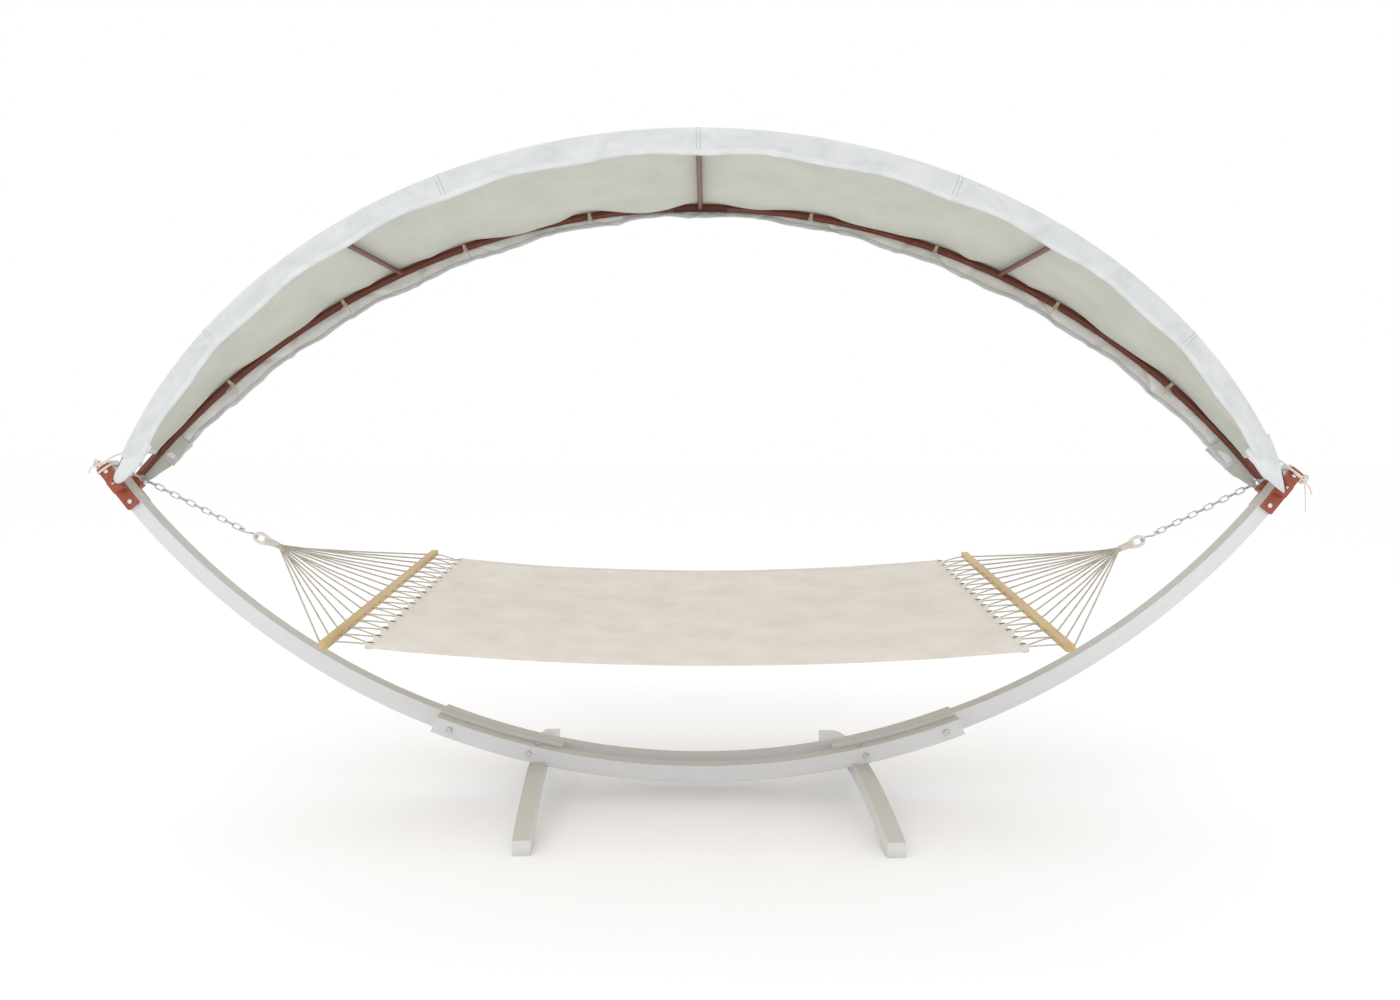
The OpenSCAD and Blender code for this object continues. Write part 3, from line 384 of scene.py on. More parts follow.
# The real threads are too fine to show, so those of both cloths are drawn 4 mm apart.
THREAD_SPACING = 0.004
COVER_OUT = make_cloth("polyester_canopy_cloth", "#e3e5e5", "#d0d3d4", 0.72, 0.2, 0.0006, 0.05)
# the inside, with painted light on the hanging rear edge
COVER_IN = make_cloth("polyester_canopy_cloth_inside", "#d2d4cb", "#c4c7bd", 0.8, 0.15, 0.0005,
                      0.05, lit=(1.00, 1.03, "#fafbf8"))
CANVAS = make_cloth("cotton_canvas_bed", "#e9e1d6", "#dad0c4", 0.88, 0.3, 0.0007)
CORD = make_cord("cotton_cord", "#efeae0", "#cdc5b8")
# painted shade: a darker copy of the cotton cord stands for the shadow lines between the close
# cords of the fans and hem loops
SHADED_CORD = make_cord("weathered_cotton_cord", "#dcd5c8", "#958b7b")
TAPE = make_cord("cotton_tape", "#ddd2bb", "#b9aa8c")
# painted shade: a dark patch for the shadow inside a sewn hole
SLOT_SHADE = new_material("shaded_buttonhole", "#4c3c2c", 0.95)[0]


# ---------------------------------------------------------------- shapes
def grid(bm, columns, rows, place, size, closed=False):
    """Adds a grid and moves each of its points to place(u, v). size is the UV map's, in
    metres."""
    layer = bm.loops.layers.uv.verify()
    points = bmesh.ops.create_grid(bm, x_segments=columns, y_segments=rows, size=0.5)["verts"]
    share = {p: (p.co.x + 0.5, p.co.y + 0.5) for p in points}
    for face in {f for p in points for f in p.link_faces}:
        face.smooth = True
        for loop in face.loops:
            u, v = share[loop.vert]
            loop[layer].uv = (u * size[0], v * size[1])
    for point in points:
        point.co = place(*share[point])
    if closed:
        bmesh.ops.remove_doubles(bm, verts=points, dist=1e-6)


def finish_piece(name, bm, materials, body, outward=False):
    """Turns a bmesh into a piece that rides on a body and takes its finish from a slot."""
    if outward:
        bmesh.ops.recalc_face_normals(bm, faces=bm.faces)
    mesh = bpy.data.meshes.new(name)
    bm.to_mesh(mesh)
    bm.free()
    for material in materials:
        mesh.materials.append(material)
    piece = bpy.data.objects.new(name, mesh)
    bpy.context.scene.collection.objects.link(piece)
    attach(piece, body)
    return piece


def thicken(piece, thickness, inner_material=0):
    wall = piece.modifiers.new("cloth_thickness", "SOLIDIFY")
    wall.thickness = thickness
    wall.offset = 0
    wall.material_offset = inner_material
    wall.material_offset_rim = 0


def resample(points, step):
    """Points a step apart along a line of points."""
    out = [points[0].copy()]
    for start, end in zip(points, points[1:]):
        count = max(1, round((end - start).length / step))
        out += [start.lerp(end, k / count) for k in range(1, count + 1)]
    return out


def smooth_line(points, rounds):
    """Rounds the corners of a line and keeps its ends."""
    for _ in range(rounds):
        inner = [(a + 2 * b + c) / 4 for a, b, c in zip(points, points[1:], points[2:])]
        points = [points[0]] + inner + [points[-1]]
    return points


def cord_along(bm, path, diameter, around=12, strands=3, pitch=0.024, loop=False, taper=0.0):
    """A laid cord along a path: strands that twist round each other once in each pitch."""
    count = len(path)
    sides, side = [], None
    for i, point in enumerate(path):
        ahead = path[(i + 1) % count] if loop else path[min(i + 1, count - 1)]
        behind = path[i - 1] if loop or i else path[0]
        along = (ahead - behind).normalized()
        if side is None:
            side = along.orthogonal().normalized()
        side = (side - along * side.dot(along)).normalized()
        sides.append((side.copy(), along.cross(side)))
    lengths = [0.0]
    for start, end in zip(path, path[1:]):
        lengths.append(lengths[-1] + (end - start).length)
    rings = count if loop else count - 1

    def place(u, v):
        i = round(u * rings) % count
        turn = 2 * math.pi * v
        twist = 2 * math.pi * lengths[i] / pitch
        lobe = abs(math.cos(strands * (turn - twist) / 2))
        radius = diameter / 2 * (0.80 + 0.20 * lobe)
        if taper:
            radius *= 1 - taper * u
        a, b = sides[i]
        return path[i] + a * (radius * math.cos(turn)) + b * (radius * math.sin(turn))

    before = set(bm.verts)
    grid(bm, rings, around, place, (lengths[-1], math.pi * diameter))
    points = [p for p in bm.verts if p not in before]
    bmesh.ops.remove_doubles(bm, verts=points, dist=1e-6)
    if not loop:
        edges = [e for p in bm.verts if p.is_valid and p not in before
                 for e in p.link_edges if e.is_boundary]
        bmesh.ops.holes_fill(bm, edges=list(set(edges)), sides=around)


def knot_path(centre, radius, flat, tilt):
    """An overhand knot as a closed line round centre."""
    out = []
    turned = Matrix.Rotation(tilt, 3, "Y")
    for k in range(60):
        t = 2 * math.pi * k / 60
        reach = radius * (0.62 + 0.38 * math.cos(3 * t))
        point = Vector((reach * math.cos(2 * t), flat * math.sin(3 * t), reach * math.sin(2 * t)))
        out.append(centre + turned @ point)
    return out


# ---------------------------------------------------------------- canopy
def rib_point(angle, side, out, sideways):
    """A point by its angle from the crown, its height over the rib's middle line and its
    distance outwards from the rib's plane."""
    radius = RIB_R + out
    rise = radius * math.cos(angle) + RIB_CENTRE
    return Vector((radius * math.sin(angle),
                   side * (RIB_FOOT_Y + rise * math.sin(RIB_LEAN) + sideways * math.cos(RIB_LEAN)),
                   RIB_FOOT_Z + rise * math.cos(RIB_LEAN) - sideways * math.sin(RIB_LEAN)))


def drop_at(angle, side):
    scallop = math.sin(math.pi * angle / SCALLOP_ANGLE) ** 2
    if side < 0:
        return FRONT_DROP - FRONT_SCALLOP * scallop
    spread = math.sin(min(math.pi / 2, abs(angle) * 3)) ** 2
    return REAR_DROP * (0.55 + 0.45 * spread) - REAR_SCALLOP * scallop


def waves(x, y, seed):
    return noise.noise(Vector((x, y, seed)))


def crease(angle, spacing, width):
    """1 on a crease line that repeats at each spacing, and 0 away from it."""
    away = (angle / spacing - round(angle / spacing)) * spacing
    return math.exp(-(away / width) ** 2)


def cover_bay(angle):
    """0 over a cross bar or at the cover's end, and 1 midway between them."""
    if abs(angle) < CROSS_ANGLE:
        return math.sin(math.pi * angle / CROSS_ANGLE) ** 2
    return math.sin(math.pi * (abs(angle) - CROSS_ANGLE) / (COVER_ANGLE - CROSS_ANGLE)) ** 2


def rear_slack(angle):
    """How far the cover sags in front of the rear rib: least at the ties and the cross bars,
    and most left of the crown."""
    degrees = math.degrees(angle)
    held = TIE_PLACES + (0.0, math.degrees(CROSS_ANGLE))
    tied = min(abs(abs(degrees) - place) for place in held)
    most = 0.036 if -23 < degrees < -1 else 0.020
    return most * (1 - math.exp(-(tied / 3.0) ** 2))


def cover_rims(angle):
    """The cover's points over the inner top corners of both ribs, and its width between the
    outer corners."""
    front, rear = (rib_point(angle, side, RIM_TOP, RIM_OUT - RIM) for side in (-1, 1))
    return front, rear, (rear - front).length + 2 * RIM


def cover_line(angle, across):
    """The cover at a distance across from the front rib's outer corner."""
    along = angle * RIB_R
    front, rear, width = cover_rims(angle)
    if across < 0 or across > width:
        side = -1 if across < 0 else 1
        drop = -across if across < 0 else across - width
        share = drop / drop_at(angle, side)
        # flutes and creases stand outwards from the hanging cloth
        flute = 0.5 + 0.5 * math.sin(along * 46 + 5 * waves(along * 2.2, side, 3.1))
        fold = 0.0045 * share * flute + 0.0050 * share * (0.5 + waves(along * 9, drop * 12, side))
        fold += 0.0060 * crease(angle + 0.02 * share, math.radians(6.9), math.radians(0.35))
        fold += 0.0045 * crease(angle - 0.05 * share, math.radians(11.3), math.radians(0.3))
        fold += 0.0040 * waves(along * 17, drop * 30, 4 + side)
        return rib_point(angle, side, RIM_TOP - drop, RIM_OUT + max(0.0, fold))
    if across < RIM:
        return rib_point(angle, -1, RIM_TOP, RIM_OUT - across)
    if across > width - RIM:
        return rib_point(angle, 1, RIM_TOP, RIM_OUT - (width - across))
    share = (across - RIM) / (width - 2 * RIM)
    belly = 4 * share * (1 - share)
    from_rib = min(across - RIM, width - RIM - across)
    near_rib = math.exp(-from_rib / 0.16) * min(1.0, from_rib / 0.02)
    lift = -0.017 * belly * cover_bay(angle) * min(1.0, width / 0.7)
    lift += 0.0035 * near_rib * (0.5 + 0.5 * math.sin(along * 30 + 6 * waves(along * 1.6, 8, 0)))
    lift -= rear_slack(angle) * slack_share(width - RIM - across)
    lift += 0.0045 * cover_bay(angle) * belly * waves(along * 3.4, across * 3.0, 5.7)
    fine = waves(along * 11, across * 5.0, 9.3)
    lift += 0.003 * cover_bay(angle) * min(1.0, from_rib / 0.05) * fine
    return front.lerp(rear, share) + Vector((math.sin(angle), 0, math.cos(angle))) * lift


def slack_share(inward):
    """How much of the sag there is at a distance inward from the rear rib."""
    rise = min(1.0, inward / 0.016)
    return rise * rise * (3 - 2 * rise) * math.exp(-max(0.0, inward - 0.016) / 0.07)


def cover_across(angle, share):
    """Where a share of the cover's whole width lies, with more rows near the ribs."""
    width = cover_rims(angle)[2]
    edge = VALANCE_SHARE
    if share < edge:
        return -drop_at(angle, -1) * (1 - share / edge)
    if share > 1 - edge:
        return width + drop_at(angle, 1) * (share - 1 + edge) / edge
    middle = (share - edge) / (1 - 2 * edge)
    eased = 0.5 - 0.5 * math.cos(math.pi * middle)
    return width * (0.25 * middle + 0.75 * eased)


def cover_point(angle, across):
    """The same, with the corners over the ribs rounded."""
    soft = 0.004
    return (cover_line(angle, across - soft) + 2 * cover_line(angle, across)
            + cover_line(angle, across + soft)) / 4


def flap_line(side, front, along, across):
    """A corner flap: it carries on from the valance and hangs over the tip plate. along runs
    from 0 at the cover to 1 at the tip, and across from -1 to 1."""
    start = rib_point(COVER_ANGLE - 0.045, -1, -0.024, RIB_W / 2 + 0.0015)
    knee = rib_point(COVER_ANGLE + 0.004, -1, -0.022, RIB_W / 2 + 0.006)
    tip = Vector((PLATE_R * math.sin(PLATE_ANGLE) - 0.016, -(PLATE_FACE_Y + SHOE_T + 0.0085),
                  ARC_Z - PLATE_R * math.cos(PLATE_ANGLE) + (0.014 if side < 0 else -0.006)))
    if along < 0.35:
        middle = start.lerp(knee, along / 0.35)
    else:
        middle = knee.lerp(tip, (along - 0.35) / 0.65)
    line = (tip - start).normalized()
    wide = Vector((line.z, 0, -line.x))
    half = (0.040 if side < 0 else 0.048) - 0.017 * min(1.0, along / 0.6)
    if side > 0 and along > 0.45:
        half *= max(0.0, 1 - (along - 0.45) / 0.55) ** 0.8
    elif along > 0.6:
        half *= math.sqrt(max(0.0, 1 - ((along - 0.6) / 0.4) ** 2))
    point = middle + wide * (across * half)
    free = min(1.0, along / 0.5)
    curl = 0.004 * math.cos(across * 1.4) + 0.002 * waves(along * 4, across * 1.5, side * 3)
    point.y -= free * curl
    return Vector((side * point.x, point.y if front else -point.y, point.z))


def make_canopy():
    bm = bmesh.new()
    length = 2 * COVER_ANGLE * RIB_R

    def place(u, v):
        angle = (2 * u - 1) * COVER_ANGLE
        return cover_point(angle, cover_across(angle, v))

    grid(bm, COVER_COLUMNS, COVER_ROWS, place, (length, 1.19))
    flaps = bmesh.new()
    for side in (-1, 1):
        for front in (True, False):
            def tongue(u, v, side=side, front=front):
                flip = 1 if (side < 0) == front else -1
                return flap_line(side, front, min(u, 0.999), flip * (2 * v - 1))
            grid(flaps, 24, 12, tongue, (0.2, 0.076))
    mesh = bpy.data.meshes.new("flaps")
    flaps.to_mesh(mesh)
    flaps.free()
    bm.from_mesh(mesh)
    bpy.data.meshes.remove(mesh)
    bm.normal_update()
    cover = finish_piece("canopy_cover_cloth", bm, [COVER_OUT, COVER_IN], "stand")
    thicken(cover, 0.0012, inner_material=1)
    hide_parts("canopy_cover")
    return cover


def make_cover_hems():
    """Folded hems along the valances' lower edges and round the ends."""
    bm = bmesh.new()
    turn = 0.018

    def fold(angle, across, inward, v, normal):
        """The section of a flat folded hem, closed round the cloth's edge."""
        phase = 2 * math.pi * v
        reach = turn / 2 * (1 - math.cos(phase))
        thick = 0.0021 * math.copysign(abs(math.sin(phase)) ** 0.5, math.sin(phase))
        return cover_point(angle, across + inward * reach) + normal * thick

    for side in (-1, 1):
        def place(u, v, side=side):
            angle = (2 * u - 1) * COVER_ANGLE
            across = cover_across(angle, 0.0 if side < 0 else 1.0)
            normal = Vector((0, side * math.cos(RIB_LEAN), -math.sin(RIB_LEAN)))
            return fold(angle, across, -side, v, normal)
        grid(bm, COVER_COLUMNS, 10, place, (4.37, 0.04), closed=True)
    for end in (-1, 1):
        def place_end(u, v, end=end):
            phase = 2 * math.pi * v
            angle = end * (COVER_ANGLE - turn / RIB_R / 2 * (1 - math.cos(phase)))
            thick = 0.0021 * math.copysign(abs(math.sin(phase)) ** 0.5, math.sin(phase))
            across = cover_across(angle, u)
            here, there = cover_point(angle, across), cover_point(angle, across + 0.002)
            along = cover_point(angle + 0.002, across) - here
            normal = (there - here).cross(along).normalized()
            return here + normal * thick
        grid(bm, COVER_HEM_ROWS, 10, place_end, (1.2, 0.04), closed=True)
    edges = [e for e in bm.edges if e.is_boundary]
    bmesh.ops.holes_fill(bm, edges=edges, sides=12)
    return finish_piece("canopy_cover_hems", bm, [COVER_OUT], "stand",
                        outward=True)


def make_cover_seams():
    """Flat seams where the cover's panels join, across the top and down both valances."""
    bm = bmesh.new()
    for middle in (-2 * CROSS_ANGLE / 3, 0.0, 2 * CROSS_ANGLE / 3, -1.45 * CROSS_ANGLE,
                   1.45 * CROSS_ANGLE):
        def place(u, v, middle=middle):
            phase = 2 * math.pi * v
            angle = middle + 0.006 / RIB_R * math.cos(phase)
            across = cover_across(angle, 0.004 + 0.992 * u)
            here, there = cover_point(angle, across), cover_point(angle, across + 0.002)
            along = cover_point(angle + 0.002, across) - here
            normal = along.cross(there - here).normalized()
            return here + normal * (0.0010 + 0.0009 * math.sin(phase))
        grid(bm, COVER_HEM_ROWS, 6, place, (1.2, 0.024), closed=True)
    edges = [e for e in bm.edges if e.is_boundary]
    bmesh.ops.holes_fill(bm, edges=edges, sides=8)
    return finish_piece("canopy_cover_seams", bm, [COVER_OUT], "stand",
                        outward=True)


def make_rib_ties():
    """Cotton tapes sewn to the cover and tied round the ribs, each with a small knot."""
    bm = bmesh.new()
    for side in (-1, 1):
        for place_angle in TIE_PLACES:
            for end in (-1, 1):
                middle = math.radians(place_angle) * end

                def band(u, v, middle=middle, side=side):
                    turn = 2 * math.pi * u
                    corner = 4
                    c, s = math.cos(turn), math.sin(turn)
                    grow = (abs(c) ** corner + abs(s) ** corner) ** (-1 / corner)
                    phase = 2 * math.pi * v
                    gap = 0.0014 + 0.0007 * math.sin(phase)
                    angle = middle + 0.006 / RIB_R * math.cos(phase)
                    return rib_point(angle, side, (RIB_H / 2 + gap) * s * grow,
                                     (RIB_W / 2 + gap) * c * grow)
                grid(bm, 40, 8, band, (0.09, 0.024), closed=True)
                knot = rib_point(middle, side, -RIB_H / 2 - 0.0065, -RIB_W / 2 + 0.004)
                cord_along(bm, knot_path(knot, 0.0075, 0.003, middle), 0.0035, around=8,
                           pitch=0.012, loop=True)
                for way in (-1, 1):
                    tail = [knot + Vector((way * 0.004 * k, 0.001 * way * k,
                                           -0.0035 * k - 0.0003 * k * k)) for k in range(6)]
                    cord_along(bm, smooth_line(tail, 1), 0.0034, around=8, pitch=0.014, taper=0.35)
    finish_piece("canopy_rib_ties", bm, [TAPE], "stand", outward=True)


def tip_frame(side, along, across, y):
    """A point near an arm's tip: along the arm from the plates' middle, and towards the arc's
    centre from the arm's middle line."""
    angle = PLATE_ANGLE + along / PLATE_R
    radius = PLATE_R - across
    return Vector((side * radius * math.sin(angle), y, ARC_Z - radius * math.cos(angle)))


def make_corner_ties(name, side):
    """Two turns of cord round the arm's tip and its plates, tied over the top end."""
    bm = bmesh.new()
    half_y = ARM_T / 2 + PLATE_T + 0.0045
    half_w = ARM_TIP_W / 2 + 0.0060
    turns = []
    for k in range(0, 129):
        turn = 2 * math.pi * k / 64
        c, s = math.cos(turn), math.sin(turn)
        grow = (abs(c) ** 6 + abs(s) ** 6) ** (-1 / 6)
        along = PLATE_LEN / 2 - TIE_BACK - 0.003 + 0.006 * k / 128
        turns.append(tip_frame(side, along, half_w * s * grow, half_y * c * grow))
    cord_along(bm, turns, 0.005, around=10)
    if side < 0:
        # on the left the knot sits over the plate's outer corner
        knot = tip_frame(side, PLATE_LEN / 2 + 0.011, -0.010, -half_y + 0.012)
        lead = [tip_frame(side, PLATE_LEN / 2 - TIE_BACK, -half_w, -half_y + 0.014),
                tip_frame(side, PLATE_LEN / 2 + 0.002, -half_w, -half_y + 0.013), knot]
        cord_along(bm, smooth_line(resample(lead, 0.004), 3), 0.0055, around=10)
    else:
        knot = tip_frame(side, PLATE_LEN / 2 - TIE_BACK - 0.004, -half_w - 0.006, -half_y + 0.010)
    for shift in (0.0, 0.006):
        cord_along(bm, knot_path(knot + Vector((side * shift, 0, shift)), 0.012, 0.006,
                                 0.6 * side + shift * 90), 0.0065, around=10, loop=True)
    # the sewn strap that the cord goes through, up to the cover's end
    strap_end = rib_point(side * (COVER_ANGLE - 0.006), -1, 0.004, -0.012)
    strap = resample([knot, knot.lerp(strap_end, 0.5) + Vector((0, 0, 0.006)), strap_end], 0.006)
    cord_along(bm, smooth_line(strap, 4), 0.0055, around=10)
    ties = finish_piece(name, bm, [CORD], "stand", outward=True)
    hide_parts(name.replace("corner_tie", "tie_band"))
    return knot


def hanging_tail(name, start, reach, length, diameter, exit_direction):
    """A short end of cord that leaves a knot and hangs down."""
    points, here = [start.copy()], start.copy()
    heading = Vector(exit_direction).normalized()
    steps = 24
    for k in range(steps):
        heading = (heading + Vector((0, 0, -0.16 * reach))).normalized()
        here = here + heading * (length / steps)
        points.append(here.copy())
    bm = bmesh.new()
    cord_along(bm, points, diameter, around=10, pitch=4 * diameter)
    tail = finish_piece(name, bm, [CORD], "stand", outward=True)
    measured = sum((b - a).length for a, b in zip(points, points[1:]))
    [tuple(p) for p in points]


# ---------------------------------------------------------------- bed
def listed(x, y, z):
    """A point of the level bed, turned by the bed's sideways list."""
    c, s = math.cos(BED_LIST), math.sin(BED_LIST)
    return Vector((x, y * c - (z - BAR_Z) * s, BAR_Z + y * s + (z - BAR_Z) * c))


def loop_share(y):
    """0 in line with a hole of the spreader bar, and 1 midway between two holes."""
    return math.sin(math.pi * (y + BAR_LEN / 2 - CORD_MARGIN) / CORD_PITCH) ** 2


def bed_end(y):
    """The scalloped end of the canvas: it reaches furthest where a loop pulls on it."""
    inside = abs(y) < BAR_LEN / 2 - CORD_MARGIN
    return HEM_X - 0.009 + (0.012 * loop_share(y) if inside else 0.0)


def bed_surface(along, y, lift=0.0):
    """The canvas at a share along from -1 to 1 and a distance y across."""
    x = along * bed_end(y)
    away = (1 - abs(along)) * HEM_X
    z = HEM_Z - BED_MID - BED_SAG * (1 - along ** 2)
    z -= BED_DISH * (1 - (y / BED_HALF) ** 2) * math.cos(math.pi * along / 2)
    # tension folds run in from the loops, and slow creases lie along the whole bed
    z += 0.0030 * (loop_share(y) - 0.5) * math.exp(-away / 0.09)
    z += 0.0040 * waves(x * 1.3, y * 9.0, 2.0) * (0.35 + 0.65 * math.exp(-away / 0.35))
    z += 0.0016 * waves(x * 5.0, y * 22.0, 7.0) * math.exp(-away / 0.25)
    z += 0.0030 * math.sin(y * 30 + 3 * waves(x * 1.1, 0, 4)) * math.exp(-((x + 0.62) / 0.22) ** 2)
    return listed(x, y, z + lift)


def make_bed():
    bm = bmesh.new()
    grid(bm, BED_COLUMNS, BED_COLUMNS // 2,
         lambda u, v: bed_surface(2 * u - 1, (2 * v - 1) * BED_HALF), (2 * HEM_X, 2 * BED_HALF))
    bm.normal_update()
    bed = finish_piece("bed_canvas_cloth", bm, [CANVAS], "bed")
    thicken(bed, 0.0018)
    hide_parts("hammock_bed")
    return bed


def make_bed_hems():
    """Side hems, folded over and sewn, and the end hems that the loops pass through."""
    bm = bmesh.new()
    for side in (-1, 1):
        def place(u, v, side=side):
            phase = 2 * math.pi * v
            y = side * (BED_HALF - 0.014 * (1 - math.cos(phase)))
            return bed_surface(2 * u - 1, y, 0.0034 * math.sin(phase))
        grid(bm, BED_COLUMNS, 10, place, (2 * HEM_X, 0.06), closed=True)
    for end in (-1, 1):
        def place_end(u, v, end=end):
            phase = 2 * math.pi * v
            along = end * (1 + 0.002 - 0.0125 * (1 - math.cos(phase)))
            thick = 0.0044 * math.sin(phase)
            return bed_surface(along, (2 * u - 1) * (BED_HALF - 0.002), thick)
        grid(bm, 400, 12, place_end, (2 * BED_HALF, 0.05), closed=True)
    edges = [e for e in bm.edges if e.is_boundary]
    bmesh.ops.holes_fill(bm, edges=edges, sides=14)
    return finish_piece("bed_canvas_hems", bm, [CANVAS], "bed", outward=True)


def make_bed_slots():
    """Painted shade for the buttonholes in the end hems: a dark patch for each loop of cord."""
    bm = bmesh.new()
    for end in (-1, 1):
        for i in range(CORD_COUNT - 1):
            middle = -BAR_LEN / 2 + CORD_MARGIN + (i + 0.5) * CORD_PITCH

            def place(u, v, end=end, middle=middle):
                reach = 0.0100 * (2 * u - 1)
                half = 0.0032 * math.sqrt(max(0.0, 1 - (2 * u - 1) ** 2)) + 1e-5
                along = end * (1 - (0.016 - reach) / HEM_X)
                return bed_surface(along, middle + 0.0045 * end + half * (2 * v - 1), 0.0052)
            grid(bm, 8, 2, place, (0.017, 0.004))
    slots = finish_piece("bed_buttonholes", bm, [SLOT_SHADE], "bed")
    thicken(slots, 0.0006)
    return slots


def make_fan(name, side):
    """Laid cords that spread from the neck of the rope ring and go through the bar."""
    bm = bmesh.new()
    back = Vector((side * math.cos(RING_SLOPE), 0, math.sin(RING_SLOPE)))
    ring = Vector((side * RING.x, 0, RING.z))
    mouth = ring - back * (NECK_START + NECK_LEN - 0.006)
    layer_up = Vector((-side * math.sin(RING_SLOPE), 0, math.cos(RING_SLOPE)))
    for i in range(CORD_COUNT):
        y = -BAR_LEN / 2 + CORD_MARGIN + i * CORD_PITCH
        spread = (i - (CORD_COUNT - 1) / 2) / (CORD_COUNT - 1) * 2
        start = mouth + Vector((0, 0.0088 * spread, 0)) + layer_up * 0.0032 * (-1, 0, 1, 0)[i % 4]
        leave = start - back * 0.014 + Vector((0, 0.007 * spread, 0))
        bend = listed(side * (BAR_X + BAR_W / 2 + 0.009), y, BAR_Z)
        near = listed(side * (BAR_X + BAR_W / 2 + 0.002), y, BAR_Z)
        far = listed(side * (BAR_X - BAR_W / 2 - 0.004), y, BAR_Z)
        slack = leave.lerp(bend, 0.5) + Vector((0, 0, -0.0025 + 0.002 * waves(i * 0.7, side, 1)))
        path = resample([start, leave, slack, bend, near, far], 0.0045)
        cord_along(bm, smooth_line(path, 2), 1.15 * CORD_D, around=9, pitch=0.021)
    # the fan cords take the darker cotton with painted shade
    fan = finish_piece(name, bm, [SHADED_CORD], "bed", outward=True)
    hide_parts(name.replace("_laid", ""))


def make_loops(name, side):
    """Loops of cord from each hole of the bar into the end hem and back to the next hole."""
    bm = bmesh.new()
    for i in range(CORD_COUNT - 1):
        y0 = -BAR_LEN / 2 + CORD_MARGIN + i * CORD_PITCH
        line = []
        for x_share, y_share, z in ((1.0, 0.035, 0.0), (0.72, 0.11, -0.002), (0.42, 0.25, -0.006),
                                    (0.16, 0.37, -0.010), (0.0, 0.43, -0.012),
                                    (-0.05, 0.5, -0.0135),
                                    (0.0, 0.57, -0.012), (0.16, 0.63, -0.010),
                                    (0.42, 0.75, -0.006), (0.72, 0.89, -0.002), (1.0, 0.965, 0.0)):
            x = HEM_X - 0.006 + x_share * (LOOP_LEN - BAR_W / 2 + 0.002)
            line.append(listed(side * x, y0 + y_share * CORD_PITCH,
                               BAR_Z + z - BED_MID * (1 - x_share)))
        path = smooth_line(resample(line, 0.0045), 2)
        cord_along(bm, path, CORD_D * 0.96, around=9, pitch=0.021)
    # the loops take the darker cotton with painted shade
    loops = finish_piece(name, bm, [SHADED_CORD], "bed", outward=True)
    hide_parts(name.replace("_laid", ""))


def make_ring(name, side):
    """A thick rope eye with a neck wound tightly in thinner cord."""
    bm = bmesh.new()
    back = Vector((side * math.cos(RING_SLOPE), 0, math.sin(RING_SLOPE)))
    ring = Vector((side * RING.x, 0, RING.z))
    up = Vector((-side * math.sin(RING_SLOPE), 0, math.cos(RING_SLOPE)))
    # the eye is pulled to a drop shape, round at the hook and pointed at the neck
    eye, long = [], 2 * RING_R + 0.022
    for k in range(84):
        turn = 2 * math.pi * k / 84
        wide = 0.0195 * math.sin(turn) * abs(math.cos(turn / 2))
        eye.append(ring - back * (long / 2 * (1 - math.cos(turn))) + up * wide)
    cord_along(bm, eye, RING_ROPE - 0.002, around=16, pitch=0.02, loop=True)
    wind_d = 0.0040
    turns = round(NECK_LEN / wind_d) - 1
    winding = []
    for k in range(turns * 20 + 1):
        turn = 2 * math.pi * k / 20
        share = k / (turns * 20)
        radius = (NECK_D / 2 - wind_d / 2) * (1 - 0.22 * share)
        point = ring - back * (NECK_START + wind_d / 2 + (NECK_LEN - wind_d) * share)
        winding.append(point + Vector((0, radius * math.cos(turn), 0))
                       + up * (radius * math.sin(turn)))
    cord_along(bm, winding, wind_d, around=8, pitch=0.014)
    core = resample([ring - back * (NECK_START - 0.004),
                     ring - back * (NECK_START + NECK_LEN - 0.001)], 0.005)
    cord_along(bm, core, NECK_D - 2 * wind_d + 0.001, around=16, strands=8, pitch=0.2,
               taper=0.2)
    rope = finish_piece(name, bm, [CORD], "bed", outward=True)
    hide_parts(name.replace("_laid", ""))


# ---------------------------------------------------------------- build
cover = make_canopy()
cover_hems = make_cover_hems()
cover_seams = make_cover_seams()
make_rib_ties()

bed = make_bed()
bed_hems = make_bed_hems()
bed_slots = make_bed_slots()

knots = {}
for label, sign in SIDES.items():
    knots[label] = make_corner_ties(label + "_corner_tie", sign)
    make_fan(label + "_fan_cords_laid", sign)
    make_loops(label + "_hem_loops_laid", sign)
    make_ring(label + "_rope_ring_laid", sign)

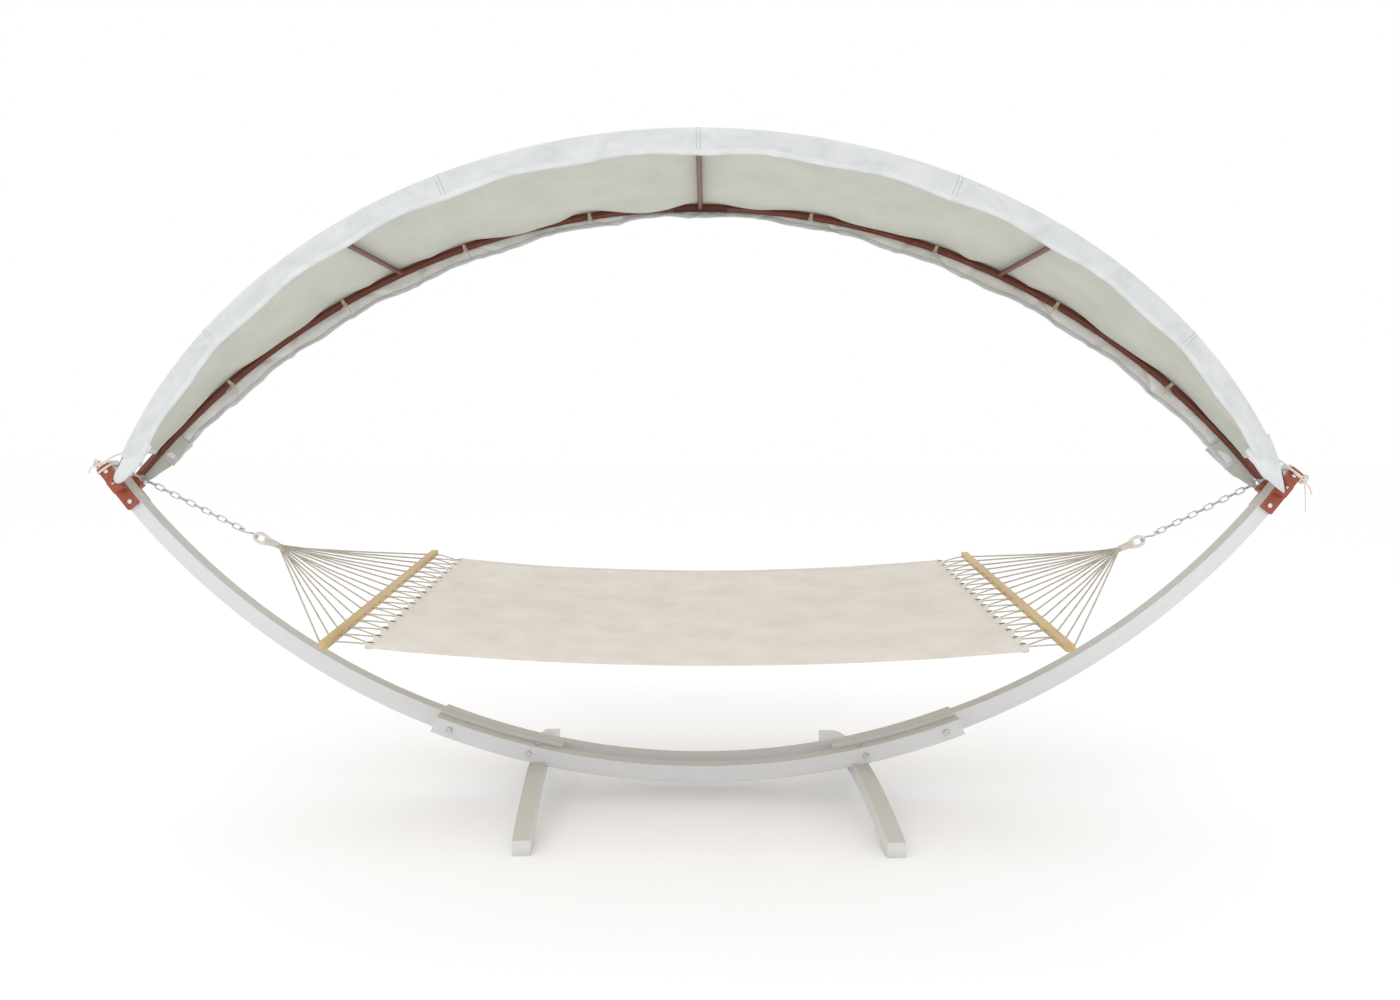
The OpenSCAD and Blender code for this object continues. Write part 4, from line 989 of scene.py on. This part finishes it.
hanging_tail("left_tie_tail", knots["left"], 0.6, 0.045, 0.005, (-1.0, -0.25, 0.35))
hanging_tail("right_tie_tail_thick", knots["right"] + Vector((0.004, 0, -0.004)), 0.4, 0.050,
             0.0055, (1.0, -0.2, -0.6))
hanging_tail("right_tie_tail_long", knots["right"] + Vector((0, -0.006, -0.004)), 0.9, 0.100,
             0.0035, (-0.1, -0.7, -0.6))

# CAD nodes that stay in view: the last name that fits decides, and all others are zinc-plated
FINISHES = {
    "beam": PAINT, "_arm": PAINT, "_foot": FOOT_PAINT, "tip_plate": STAINED, "_rib": RIB_WOOD,
    "cross_bar": RIB_WOOD, "rib_shoes": STAINED, "spreader_bar": BAR_WOOD, "screw": ZINC,
    "splice": DARK_STEEL, "tip_bolt": BRIGHT,
}
for label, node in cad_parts.items():
    finish = ZINC
    for part, wanted in FINISHES.items():
        if part in label:
            finish = wanted
    if not node.data.materials:
        node.data.materials.append(finish)
    for index in range(len(node.data.materials)):
        node.data.materials[index] = finish


# ---------------------------------------------------------------- stage
def make_floor():
    made, tree, shader = new_material("pale_studio_floor", "#ffffff", 0.9)
    place = add(tree, "TexCoord", {}, out="Object")
    grain = add(tree, "TexNoise", {"Vector": place, "Scale": 60, "Detail": 2})
    spread = add(tree, "MapRange", {"Value": grain, "From Min": 0.2, "From Max": 0.8})
    tone = add(tree, "Mix", {"Factor": spread, MIX_A: "#fefefe", MIX_B: "#ffffff"},
               out=MIX_OUT, data_type="RGBA")
    connect(tree, shader, {"Base Color": tone})
    bm = bmesh.new()
    bmesh.ops.create_grid(bm, x_segments=1, y_segments=1, size=40)
    mesh = bpy.data.meshes.new("floor")
    bm.to_mesh(mesh)
    bm.free()
    mesh.materials.append(made)
    floor = bpy.data.objects.new("floor", mesh)
    floor.location.z = -0.0005
    bpy.context.scene.collection.objects.link(floor)


make_floor()
world = bpy.data.worlds.new("studio")
world.use_nodes = True
sky = world.node_tree.nodes["Background"]
sky.inputs["Color"].default_value = linear("#ffffff")
sky.inputs["Strength"].default_value = 1.0
bpy.context.scene.world = world
bpy.context.scene.view_settings.view_transform = "Standard"
